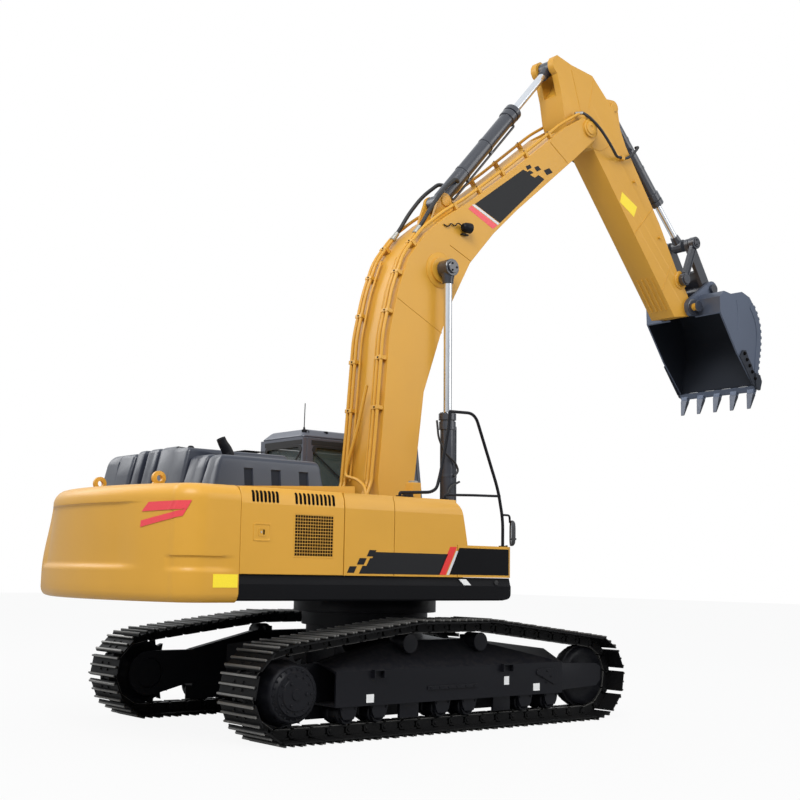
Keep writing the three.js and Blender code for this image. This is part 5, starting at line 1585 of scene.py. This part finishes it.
class EXCAVATOR_OT_cylinders(bpy.types.Operator):
    """Turns the hydraulic cylinders, their rods, ports and side pipes"""

    bl_idname = "excavator.cylinders"
    bl_label = "Cylinders"

    LIFT = (0.13, 0.017, 1.85, 0.105, 0.1, 0.095, 0.164, 0.2)
    RAMS = {
        "lift_left": Ram(LIFT_BASE, LIFT_EYE, LIFT_Y, *LIFT),
        "lift_right": Ram(LIFT_BASE, LIFT_EYE, -LIFT_Y, *LIFT),
        "arm": Ram(ARM_CYL_BASE, ARM_CYL_EYE, 0.0, 0.15, 0.02, 1.949, 0.098, 0.098, 0.105,
                   0.192, 0.66),
        "bucket": Ram(BUCKET_CYL_BASE, LINK_PIN, 0.0, 0.135, 0.018, 1.56, 0.088, 0.088, 0.092,
                      0.172, 0.42),
    }
    BODIES = {
        "lift_left": ("lift_barrels", "lift_rods", "boom_cylinder_left", "boom_rod_left"),
        "lift_right": ("lift_barrels", "lift_rods", "boom_cylinder_right", "boom_rod_right"),
        "arm": ("arm_barrel", "arm_ram_rod", "arm_cylinder", "arm_rod"),
        "bucket": ("bucket_barrel", "bucket_ram_rod", "bucket_cylinder", "bucket_rod"),
    }

    def execute(self, context):
        for name, ram in self.RAMS.items():
            barrel_body, rod_body, barrel_node, rod_node = self.BODIES[name]
            foot = Vector((ram.base[0], ram.y, ram.base[1]))
            line = Vector((ram.eye[0], ram.y, ram.eye[1])) - foot
            along = line.normalized()
            self.barrel(name, ram, foot, along, barrel_body, barrel_node)
            self.rod(name, ram, foot, along, line.length, rod_body, rod_node)
        return {"FINISHED"}

    def eye(self, shape, at, y, radius, width, bore):
        """A round eye across the machine, with eased rims."""
        shape.turned((at[0], y - width / 2, at[1]), ACROSS, [
            (0, bore), (0, radius - 0.006), (0.006, radius), (width - 0.006, radius),
            (width, radius - 0.006), (width, bore)])

    def barrel(self, name, ram, foot, along, body, node):
        """The shell with its gland nut, bands and base eye, and the pipe along its side."""
        radius = ram.bore / 2 + ram.wall
        start = ram.base_eye * 0.55
        end = ram.gland - start
        shape = Piece().turned(foot + along * start, along, [
            (0, radius * 0.85), (ram.base_eye * 0.35, radius), (end - 0.19, radius),
            *((end - back, radius + out) for back, out in (
                (0.185, 0.014), (0.095, 0.014), (0.09, 0.002), (0.08, 0.002), (0.076, 0.018),
                (0.004, 0.018), (0.0, 0.01))), (end + 0.0005, ram.bore * 0.36)], 48)
        self.eye(shape, ram.base, ram.y, ram.base_eye, ram.width, start)
        up, across = Vector((along.z, 0, -along.x)), Vector(ACROSS)
        port = foot + along * (ram.gland - 0.14) + up * (radius + 0.004)
        inlet = foot + along * 0.24 + up * radius
        lift = up * 0.036
        shape.tube([port, port + lift, port + lift - along * 0.05, inlet + lift + along * 0.05,
                    inlet + lift * 0.9, inlet], 0.015, 0.04, 12)
        for share in (0.32, 0.62):
            where = foot + along * (ram.gland * share)
            shape.turned(where - along * 0.018, along, [
                (0, radius - 0.001), (0, radius + 0.006), (0.036, radius + 0.006),
                (0.036, radius - 0.001)], 48, closed=False)
            block = where + up * (radius + 0.018)
            shape.hull([block + along * s * 0.022 + across * t * 0.022 + up * u * 0.024
                        for s in (-1, 1) for t in (-1, 1) for u in (-1, 1)])
        shape.done(f"{name}_barrel", body, "gloss_black", (node,), smooth=38)
        bolts(f"{name}_gland_bolts", body, [
            bolt_ring(foot + along * ram.gland, along, radius - 0.006, 10, 0.01)])

    def rod(self, name, ram, foot, along, span, body, node):
        """The chromed rod, with some of it hidden in the barrel, and the eye at its end."""
        start, radius = ram.gland - ram.hidden, ram.rod / 2
        Piece().turned(foot + along * start, along, [
            (0, radius - 0.002), (0.002, radius),
            (span - ram.rod_eye * 0.86 - start, radius)], 48).done(
            f"{name}_rod", body, "rod_chrome", (node,))
        end = Piece()
        self.eye(end, ram.eye, ram.y, ram.rod_eye, ram.width, ram.rod_eye * 0.5)
        end.turned(foot + along * (span - ram.rod_eye - 0.085), along, [
            (0, radius + 0.002), (0.004, radius + 0.014), (0.05, radius + 0.018),
            (ram.rod_eye + 0.02, ram.rod_eye * 0.8)], 32)
        end.done(f"{name}_rod_eye", body, "gloss_black", smooth=40)


PEG = [(0, 0.016), (0.034, 0.016), (0.036, 0.01)]


class EXCAVATOR_OT_arm(bpy.types.Operator):
    """Dresses the arm with its bosses, seams, wear ribs and lugs"""

    bl_idname = "excavator.arm"
    bl_label = "Arm"

    def execute(self, context):
        refined("arm", "yellow_paint", context.scene.excavator_trim.edge)
        shape = Piece()
        for (x, z), y, profile, sides in (
                (BOOM_NOSE, 0.196, [(0, 0.235), (0.01, 0.235), (0.014, 0.228), (0.014, 0.02)], 56),
                (ROCKER_PIN, 0.196, [(0, 0.13), (0.012, 0.13), (0.018, 0.118), (0.018, 0.02)],
                 44),
                ((4.364, 6.905), 0.198, PEG, 16), ((4.888, 6.215), 0.198, PEG, 16)):
            shape.turned((x, y, z), ACROSS, profile, sides)
        shape.pin(BUCKET_CYL_BASE, 0.062, 0.132, 0.15)
        shape.mirrored().done("arm_doublers", "arm_body", "yellow_paint", smooth=40)
        seams("arm_weld_seams", "arm_body", 0.2005, (
            arc((3.62, 7.44), 0.26, 150, 330, 14), [(3.3, 7.62), (3.12, 8.17)],
            [(3.55, 8.14), (3.46, 7.72)], [(4.75, 6.6), (4.38, 6.19)],
            [(5.18, 5.93), (4.95, 5.48)]))
        ribs = Piece()
        foot, top = (5.211, 5.148), (4.423, 6.114)
        outline = [between(foot, top, share, side) for share, side in (
            (0.1, 0.0), (0.52, 0.0), (0.52, 0.014), (0.1, 0.014))]
        for y in (-0.12, -0.04, 0.04, 0.12):
            ribs.plate(outline, y - 0.012, y + 0.012)
        ribs.done("arm_wear_ribs", "arm_body", "yellow_paint", edge=0.003)
        caps = Piece().pin(BUCKET_PIN, 0.078, 0.366, 0.384).pin(ROCKER_PIN, 0.07, 0.306, 0.326)
        caps.mirrored().done("arm_pin_caps", "arm_body", "gloss_black")
        Piece().plate([(4.117, 6.711), (4.427, 6.564), (4.362, 6.41), (4.074, 6.562)],
                      0.2002, 0.2018).mirrored().done("arm_label", "arm_body", "label_yellow")
        return {"FINISHED"}


class EXCAVATOR_OT_bucket_linkage(bpy.types.Operator):
    """Shapes the rocker bars and the bucket link"""

    bl_idname = "excavator.bucket_linkage"
    bl_label = "Bucket linkage"

    def execute(self, context):
        for side, label in SIDES:
            shape = Piece()
            shape.plate(strap(ROCKER_PIN, LINK_PIN, 0.052, steps=12), side * 0.25, side * 0.278)
            for way in (-1, 1):
                shape.plate([between(ROCKER_PIN, LINK_PIN, share, way * out) for share, out in (
                    (0.13, 0.056), (0.87, 0.056), (0.87, 0.04), (0.13, 0.04))],
                    side * 0.238, side * 0.292)
            for at, inner in ((ROCKER_PIN, 0.236), (LINK_PIN, 0.207)):
                low, high = sorted((side * inner, side * 0.306))
                shape.turned((at[0], low, at[1]), ACROSS, [
                    (0, 0.05), (0, 0.082), (0.006, 0.088), (high - low - 0.008, 0.088),
                    (high - low, 0.08), (high - low, 0.05)], 36)
            shape.pin(LINK_PIN, 0.062, *sorted((side * 0.3, side * 0.322)))
            shape.done(f"rocker_{label}_bar", "rockers", "gloss_black", (f"rocker_{label}",),
                       edge=0.003, smooth=38)
        refined("bucket_link", "gloss_black")
        bolts("rocker_pin_bolts", "rockers", [
            bolt_ring((LINK_PIN[0], side * 0.322, LINK_PIN[1]), (0, side, 0), 0.038, 3, 0.009)
            for side in (RIGHT, LEFT)])
        return {"FINISHED"}


class EXCAVATOR_OT_bucket(bpy.types.Operator):
    """Shapes the bucket's sides, cutters, wear strips and teeth"""

    bl_idname = "excavator.bucket"
    bl_label = "Bucket"

    BACK = ((5.9, 5.512), (6.163, 5.58), (6.345, 5.525), (6.48, 5.372), (6.568, 5.215),
            (6.598, 5.015), (6.575, 4.8), (6.528, 4.585), (6.494, 4.38))
    MIDDLE = Vector((5.98, 4.9))
    TEETH = (-0.576, -0.288, 0.0, 0.288, 0.576)
    # sections along a tooth: distance out, top, bottom and half width
    HOLDER = ((0.004, 0.036, -0.034, 0.05), (0.06, 0.04, -0.036, 0.058),
              (0.135, 0.034, -0.031, 0.054), (0.16, 0.026, -0.024, 0.04))
    POINT = ((0.138, 0.034, -0.032, 0.053), (0.16, 0.033, -0.031, 0.054),
             (0.23, 0.024, -0.024, 0.044), (0.31, 0.013, -0.014, 0.036),
             (0.368, 0.004, -0.006, 0.029))

    def execute(self, context):
        shell = refined("bucket", "bucket_paint", 0.008).data
        # Faces that look into the bucket take a much darker copy of its paint: painted shade of the
        # inside
        shell.materials.append(FINISH["bucket_inside_shade"])
        for face in shell.polygons:
            at, normal = face.center - SHIFT, face.normal
            inwards = Vector((self.MIDDLE.x - at.x, 0, self.MIDDLE.y - at.z))
            if normal.dot(inwards) > 0.1 or (abs(normal.y) > 0.9 and normal.y * at.y < 0):
                face.material_index = 1
        self.sides()
        self.wear_bars()
        self.creases()
        self.cutters()
        self.lip()
        return {"FINISHED"}

    def sides(self):
        """Rolled edge strips round the back of each side."""
        strip, route = Piece(), [Vector(p) for p in rounded(self.BACK, 0.12, 4)][10:]
        inner, outer = ([p + (self.MIDDLE - p).normalized() * reach for p in route]
                        for reach in (0.105, 0.004))
        for quad in zip(outer, outer[1:], inner[1:], inner):
            strip.plate(quad, 0.65, 0.656)
        strip.mirrored().done("bucket_edge_strips", "bucket_body", "bucket_paint", smooth=40)

    def wear_bars(self):
        """Bars across the back, evenly spaced along its curve."""
        route = [Vector(p) for p in rounded(self.BACK, 0.12, 4)]
        lengths = [0.0]
        for a, b in zip(route, route[1:]):
            lengths.append(lengths[-1] + (b - a).length)
        bars, first, last, count = Piece(), 0.62, lengths[-1] - 0.06, 12
        for k in range(count):
            want = first + (last - first) * k / (count - 1)
            i = max(n for n, run in enumerate(lengths[:-1]) if run <= want)
            along = (route[i + 1] - route[i]).normalized()
            out = Vector((-along.y, along.x))
            p = route[i] + along * (want - lengths[i])
            bars.plate([p + along * s + out * h for s, h in (
                (-0.026, -0.004), (0.026, -0.004), (0.02, 0.024), (-0.02, 0.024))],
                -0.652, 0.652)
        bars.done("bucket_wear_bars", "bucket_body", "bucket_paint", edge=0.003)

    def creases(self):
        """A crease pressed into each side, below the pins."""
        crease = Piece()
        bends = ((6.03, 5.44), (6.052, 5.3), (6.06, 5.15), (6.052, 5.02))
        for a, b in zip(bends, bends[1:]):
            crease.tube([(a[0], 0.65, a[1]), (b[0], 0.65, b[1])], 0.005, sides=6)
        crease.mirrored().done("bucket_side_creases", "bucket_body", "bucket_paint", smooth=60)

    def cutters(self):
        """Side cutters with their bolts, and the collars of the bucket's pins."""
        cutter = Piece()
        cutter.plate([(6.06, 4.64), (6.13, 4.735), (6.205, 4.745), (6.262, 4.64),
                      (6.33, 4.56), (6.395, 4.44), (6.482, 4.345), (6.47, 4.29),
                      (6.375, 4.245)], 0.6502, 0.672)
        cutter.plate([(6.395, 4.44), (6.505, 4.42), (6.545, 4.33), (6.5, 4.2),
                      (6.43, 4.215), (6.4, 4.262)], 0.6502, 0.69)
        cutter.mirrored().done("bucket_side_cutters", "bucket_body", "tooth_steel", edge=0.005)
        bolts("cutter_bolts", "bucket_body", [
            bolt_row((x, side * 0.672, z), (0, side, 0), 0.02) for side in (RIGHT, LEFT)
            for x, z in ((6.16, 4.69), (6.215, 4.61), (6.275, 4.53), (6.335, 4.45),
                         (6.4, 4.36))], "gap_shade_and_black")
        caps = Piece().pin(BUCKET_LINK_PIN, 0.07, 0.276, 0.314)
        caps.turned((BUCKET_PIN[0], 0.274, BUCKET_PIN[1]), ACROSS, [
            (0, 0.118), (0.012, 0.118), (0.015, 0.11), (0.015, 0.05)])
        caps.mirrored().done("bucket_pin_caps", "bucket_body", "gloss_black", smooth=38,
                             slot="bucket_steel")

    def lip(self):
        """The lip plate, and five teeth of holder and point."""
        down = (Vector((6.452, 4.29)) - Vector((6.54, 4.6))).normalized()
        edge = Vector((6.472, 4.2876))

        def at(along, side):
            return edge + down * along + Vector((-down.y, down.x)) * side

        def tooth(y, sections):
            return [[(at(s, t).x, y + w, at(s, t).y) for t, w in (
                (top, -half), (top, half), (low, half), (low, -half))]
                for s, top, low, half in sections]

        Piece().plate([(6.401, 4.2515), (6.489, 4.2795), at(0.109, 0.017), at(0.109, -0.013)],
                      -0.6495, 0.6495).done("lip_plate", "bucket_body", "bucket_paint",
                                            ("bucket_lip",), edge=0.003)
        holders, points = Piece(), Piece()
        for y in self.TEETH:
            holders.loft(tooth(y, self.HOLDER))
            points.loft(tooth(y, self.POINT))
        holders.done("tooth_holders", "bucket_body", "bucket_paint", edge=0.006, smooth=40)
        points.wear(lambda at: 0.9).done("tooth_points", "bucket_body", "tooth_steel",
                                         edge=0.005, smooth=40, slot="")


class EXCAVATOR_OT_hoses(bpy.types.Operator):
    """Runs the hoses across the joints"""

    bl_idname = "excavator.hoses"
    bl_label = "Hoses"

    KNEE = ((0.499, 0.205, 5.493), (0.57, 0.205, 5.59), (0.7, 0.205, 5.8),
            (0.9, 0.19, 6.06), (1.12, 0.15, 6.25), (1.2, 0.116, 6.24))
    NOSE = ((3.194, 0.27, 7.565), (3.245, 0.288, 7.58), (3.3, 0.35, 7.52),
            (3.47, 0.372, 7.416), (3.618, 0.372, 7.298), (3.767, 0.35, 7.19),
            (3.9, 0.29, 7.145), (3.99, 0.25, 7.158), (4.046, 0.246, 7.168))
    ARM = ((4.114, 0.246, 7.168), (4.19, 0.246, 7.195), (4.3, 0.24, 7.27),
           (4.42, 0.205, 7.37), (4.48, 0.19, 7.432), (4.48, 0.134, 7.432))

    def execute(self, context):
        radius = context.scene.excavator_trim.hose
        for side, label in ((LEFT, "left"), (RIGHT, "right")):
            for name, route, bodies, bend in (
                    ("knee_hose", self.KNEE, ("boom_body", "arm_barrel"), 0.13),
                    ("nose_hose", self.NOSE, ("boom_body", "arm_body"), 0.12),
                    ("arm_hose", self.ARM, ("arm_body", "bucket_barrel"), 0.06)):
                points = [(x, y * side, z) for x, y, z in route]
                shape = Piece()
                shape.tube(points, radius + (0.005 if name == "knee_hose" else 0.0), bend, 16, 8)
                shape.done(f"{name}_{label}_line",
                           (*bodies, Vector(points[0]) + SHIFT, Vector(points[-1]) + SHIFT),
                           "hose_rubber", (f"{name}_{label}",))
            ends = Piece()
            for first, second, size in ((*self.KNEE[:2], 0.036), (*self.NOSE[:2], 0.026)):
                a, b = (Vector((x, y * side, z)) for x, y, z in (first, second))
                ends.turned(a - (b - a).normalized() * 0.07, b - a, [
                    (0, size - 0.005), (0.004, size), (0.045, size), (0.046, size - 0.004),
                    (0.12, size - 0.0045)], 12)
            ends.done(f"hose_ends_boom_{label}", "boom_body", "fitting_steel")
        self.foot()
        return {"FINISHED"}

    def foot(self):
        """Lines from the boom's back down to the valves, and loops by the right lift cylinder."""
        top, low = (-0.148, 0, 2.6), (-0.34, 0, 1.98)
        shape = Piece()
        for y, over in ((-0.27, -0.3), (-0.205, -0.215), (0.205, 0.02), (0.27, 0.13)):
            shape.tube([(-0.148, y, 2.6), (-0.165, y, 2.52),
                        (-0.215, y * 0.92 + over * 0.08, 2.4), (-0.285, (y + over) / 2, 2.26),
                        (-0.33, over, 2.13), (-0.34, over, 1.98)], PIPE, 0.1, 14, 6)
        shape.tube([(-0.125, -0.111, 3.612), (-0.155, 0.007, 3.118), (-0.185, 0.14, 2.72),
                    (-0.2, 0.148, 2.61), (-0.215, -0.103, 2.557), (-0.225, -0.25, 2.47),
                    (-0.24, -0.285, 2.3)], PIPE, 0.07, 14, 6)
        shape.done("foot_lines", ("boom_body", "house", Vector(top) + SHIFT, Vector(low) + SHIFT),
                   "yellow_paint")
        loops = Piece()
        for route in (((0.56, -0.52, 3.247), (0.566, -0.545, 3.051), (0.65, -0.556, 2.891),
                       (0.812, -0.556, 2.791), (0.87, -0.55, 2.696), (0.796, -0.55, 2.635)),
                      ((0.882, -0.55, 2.578), (0.741, -0.556, 2.52), (0.705, -0.55, 2.44))):
            loops.tube(route, 0.0125, 0.05, 10, 6)
        loops.done("lift_hose_loops", "lift_barrels", "hose_rubber", slot="")


# ---- stage ----------------------------------------------------------------------------------


class EXCAVATOR_OT_stage(bpy.types.Operator):
    """Sets the floor, the soft lights and the camera"""

    bl_idname = "excavator.stage"
    bl_label = "Stage"

    SKY = {"From Min": -0.12, "From Max": 0.34, "To Min": 0.1, "To Max": 0.92}
    SKY_LEAN = (-0.07, 0.09, 1.0)
    # name, place, size and power
    LAMPS = (("key", (-11, -9, 15), 8, 2300), ("fill", (9, -14, 9), 10, 700),
             ("back", (-8, 13, 12), 9, 700))
    CAMERA = {"place": (-8.59, -10.95, 1.56), "yaw": 50.46, "pitch": 7.84, "roll": 1.0,
              "lens": 56.264}

    def execute(self, context):
        self.floor()
        self.lights(context.scene)
        self.camera(context.scene)
        return {"FINISHED"}

    def floor(self):
        """A wide floor that is white to the camera and keeps the object's shadow."""
        reach, level = 60.0, -0.001
        mesh = bpy.data.meshes.new("floor")
        mesh.from_pydata([(x, y, level) for x, y in rect(-reach, reach, -reach, reach)], [],
                         [(0, 1, 2, 3)])
        floor = bpy.data.objects.new("floor", mesh)
        bpy.context.scene.collection.objects.link(floor)
        f = Finish("studio_floor")
        f.set(Base_Color=(0.42, 0.42, 0.42), Roughness=0.9)
        path = f.node("ShaderNodeLightPath")
        glow = f.node("ShaderNodeEmission", None, {"Color": (1, 1, 1, 1), "Strength": 1.0})
        seen = f.out(path, "Is Camera Ray") * 0.92 + f.out(path, "Is Transmission Ray") * 0.92
        mix = f.node("ShaderNodeMixShader", None, {
            0: f.out(f.node("ShaderNodeClamp", None, {0: seen})), 1: f.out(f.shader),
            2: f.out(glow)})
        f.feed(f.tree.nodes["Material Output"].inputs["Surface"], f.out(mix))
        mesh.materials.append(f.material)

    def lights(self, scene):
        """A sky that is brighter above, white behind the object, and three soft lamps."""
        scene.world = bpy.data.worlds.new("studio")
        scene.world.use_nodes = True
        world = Nodes(scene.world.node_tree)
        sky = world.tree.nodes["Background"]
        lean = world.node("ShaderNodeVectorMath", {"operation": "DOT_PRODUCT"}, {
            0: world.out(world.node("ShaderNodeTexCoord"), "Generated"), 1: self.SKY_LEAN})
        rise = world.node("ShaderNodeMapRange", {"interpolation_type": "SMOOTHSTEP"}, {
            "Value": world.out(lean, "Value"), **self.SKY})
        world.feed(sky.inputs["Color"], (0.94, 0.97, 1.0, 1))
        world.feed(sky.inputs["Strength"], world.out(rise))
        white = world.node("ShaderNodeBackground", None, {
            "Color": (1, 1, 1, 1), "Strength": 1.0})
        path = world.node("ShaderNodeLightPath")
        mix = world.node("ShaderNodeMixShader", None, {
            0: world.out(path, "Is Camera Ray"), 1: world.out(sky), 2: world.out(white)})
        world.feed(world.tree.nodes["World Output"].inputs["Surface"], world.out(mix))
        for name, place, size, power in self.LAMPS:
            lamp = bpy.data.lights.new(name, "AREA")
            lamp.size, lamp.energy = size, power
            holder = bpy.data.objects.new(name, lamp)
            scene.collection.objects.link(holder)
            holder.location = Vector(place)
            aim = Vector((0, 0, 3.0)) - Vector(place)
            holder.rotation_mode = "QUATERNION"
            holder.rotation_quaternion = aim.to_track_quat("-Z", "Y")

    def camera(self, scene):
        view = bpy.data.cameras.new("camera")
        view.lens, view.sensor_width = self.CAMERA["lens"], 36
        view.clip_end = 500
        holder = bpy.data.objects.new("camera", view)
        scene.collection.objects.link(holder)
        yaw, pitch, roll = (math.radians(self.CAMERA[k]) for k in ("yaw", "pitch", "roll"))
        level = math.cos(pitch)
        forward = Vector((math.cos(yaw) * level, math.sin(yaw) * level, math.sin(pitch)))
        right = Vector((math.sin(yaw), -math.cos(yaw), 0))
        up = right.cross(forward)
        right_rolled = right * math.cos(roll) + up * math.sin(roll)
        up_rolled = up * math.cos(roll) - right * math.sin(roll)
        turn = Matrix((right_rolled, up_rolled, -forward)).transposed().to_4x4()
        holder.matrix_world = Matrix.Translation(Vector(self.CAMERA["place"]) + SHIFT) @ turn
        scene.camera = holder
        scene.view_settings.view_transform = "Standard"


class EXCAVATOR_OT_finishes(bpy.types.Operator):
    """Makes the materials"""

    bl_idname = "excavator.finishes"
    bl_label = "Finishes"

    def execute(self, context):
        tint = context.scene.excavator_paint
        paint("yellow_paint", tuple(tint.yellow), 0.4, 0.06, 0.32, 0.1)
        paint("black_paint", tuple(tint.black), 0.42, 0.04, 0.16)
        paint("gloss_black", tuple(tint.gloss), 0.3, 0.03, 0.7, 0.4)
        paint("cab_paint", tuple(tint.cab), 0.32, 0.04, 0.6, 0.15)
        paint("bucket_paint", tuple(tint.bucket), 0.42, 0.03, 0.5, 0.0, 0.55)
        # A darkened copy of the bucket's paint for its inside faces: painted shade
        paint("bucket_inside_shade", shade(tint.bucket, 0.16), 0.55, 0.02, 0.2, 0.0, 0.3)
        paint("hood_skin", tuple(tint.hood), 0.34, 0.04, 0.5, 0.1)
        paint("hood_shadow", shade(tint.hood, 0.42), 0.5, 0.02, 0.15)
        paint("deep_black", shade(tint.black, 0.45), 0.5, 0.02, 0.1)
        steel("track_steel", tuple(tint.track), (0.2, 0.195, 0.185), 0.5, 0.03, 0.2)
        steel("tooth_steel", (0.03, 0.034, 0.044), (0.085, 0.092, 0.11), 0.38, 0.0)
        plain("engine_casting", (0.05, 0.05, 0.052), 0.7, 0.2, 40, 0.4)
        # Painted shade for slots and holes, and also the own colour of small black parts such as
        # locks and bolts
        plain("gap_shade_and_black", (0.004, 0.0034, 0.0034), 0.9, shine=0.08)
        plain("grip_black", (0.018, 0.018, 0.019), 0.9, 0.0, 300, 0.5)
        plain("seal_rubber", (0.012, 0.012, 0.013), 0.65)
        plain("hose_rubber", (0.014, 0.014, 0.015), 0.5)
        plain("console_plastic", (0.03, 0.031, 0.034), 0.6)
        plain("fitting_steel", (0.45, 0.44, 0.4), 0.35, 0.9)
        plain("decal_black", (0.0075, 0.0078, 0.0092), 0.4, shine=0.22)
        plain("decal_red", tuple(tint.red), 0.35, coat=0.2)
        plain("decal_scarlet", (0.66, 0.022, 0.018), 0.35, coat=0.2)
        plain("decal_silver", (0.58, 0.58, 0.6), 0.35, 0.1)
        plain("label_yellow", (0.86, 0.66, 0.02), 0.4)
        plain("white_plate", (0.75, 0.75, 0.74), 0.4)
        plain("lamp_glass", (0.62, 0.64, 0.66), 0.08, 0.3, coat=0.8)
        plain("mirror_silver", (0.62, 0.66, 0.7), 0.06, 0.9, 20, 0.0)
        glass("tinted_glass", 0.26)
        # A darker, more opaque copy of the glass: painted shade of the cab's inside
        glass("shaded_side_glass", 0.66)
        fabric()
        chrome()
        return {"FINISHED"}


class EXCAVATOR_PT_panel(bpy.types.Panel):
    """Lists the pieces and their settings"""

    bl_label = "Excavator"
    bl_idname = "EXCAVATOR_PT_panel"
    bl_space_type = "VIEW_3D"
    bl_region_type = "UI"
    bl_category = "Excavator"

    def draw(self, context):
        for group in ("excavator_paint", "excavator_track", "excavator_trim"):
            settings = getattr(context.scene, group)
            box = self.layout.box()
            for name in settings.__annotations__:
                box.prop(settings, name)
        for step in STEPS:
            self.layout.operator(step.bl_idname)


SETTINGS = {"excavator_paint": PaintSettings, "excavator_track": TrackSettings,
            "excavator_trim": TrimSettings}
STEPS = (EXCAVATOR_OT_finishes, EXCAVATOR_OT_tracks, EXCAVATOR_OT_track_frames, EXCAVATOR_OT_house,
         EXCAVATOR_OT_counterweight, EXCAVATOR_OT_hood, EXCAVATOR_OT_cab, EXCAVATOR_OT_rails,
         EXCAVATOR_OT_boom, EXCAVATOR_OT_cylinders, EXCAVATOR_OT_arm, EXCAVATOR_OT_bucket_linkage,
         EXCAVATOR_OT_bucket, EXCAVATOR_OT_hoses, EXCAVATOR_OT_stage)
CLASSES = (*SETTINGS.values(), *STEPS, EXCAVATOR_PT_panel)


def register():
    for cls in CLASSES:
        bpy.utils.register_class(cls)
    for name, cls in SETTINGS.items():
        setattr(bpy.types.Scene, name, PointerProperty(type=cls))


def unregister():
    for name in SETTINGS:
        delattr(bpy.types.Scene, name)
    for cls in reversed(CLASSES):
        bpy.utils.unregister_class(cls)


def main():
    register()
    for step in STEPS:
        group, name = step.bl_idname.split(".")
        getattr(getattr(bpy.ops, group), name)()


if __name__ == "__main__":
    main()
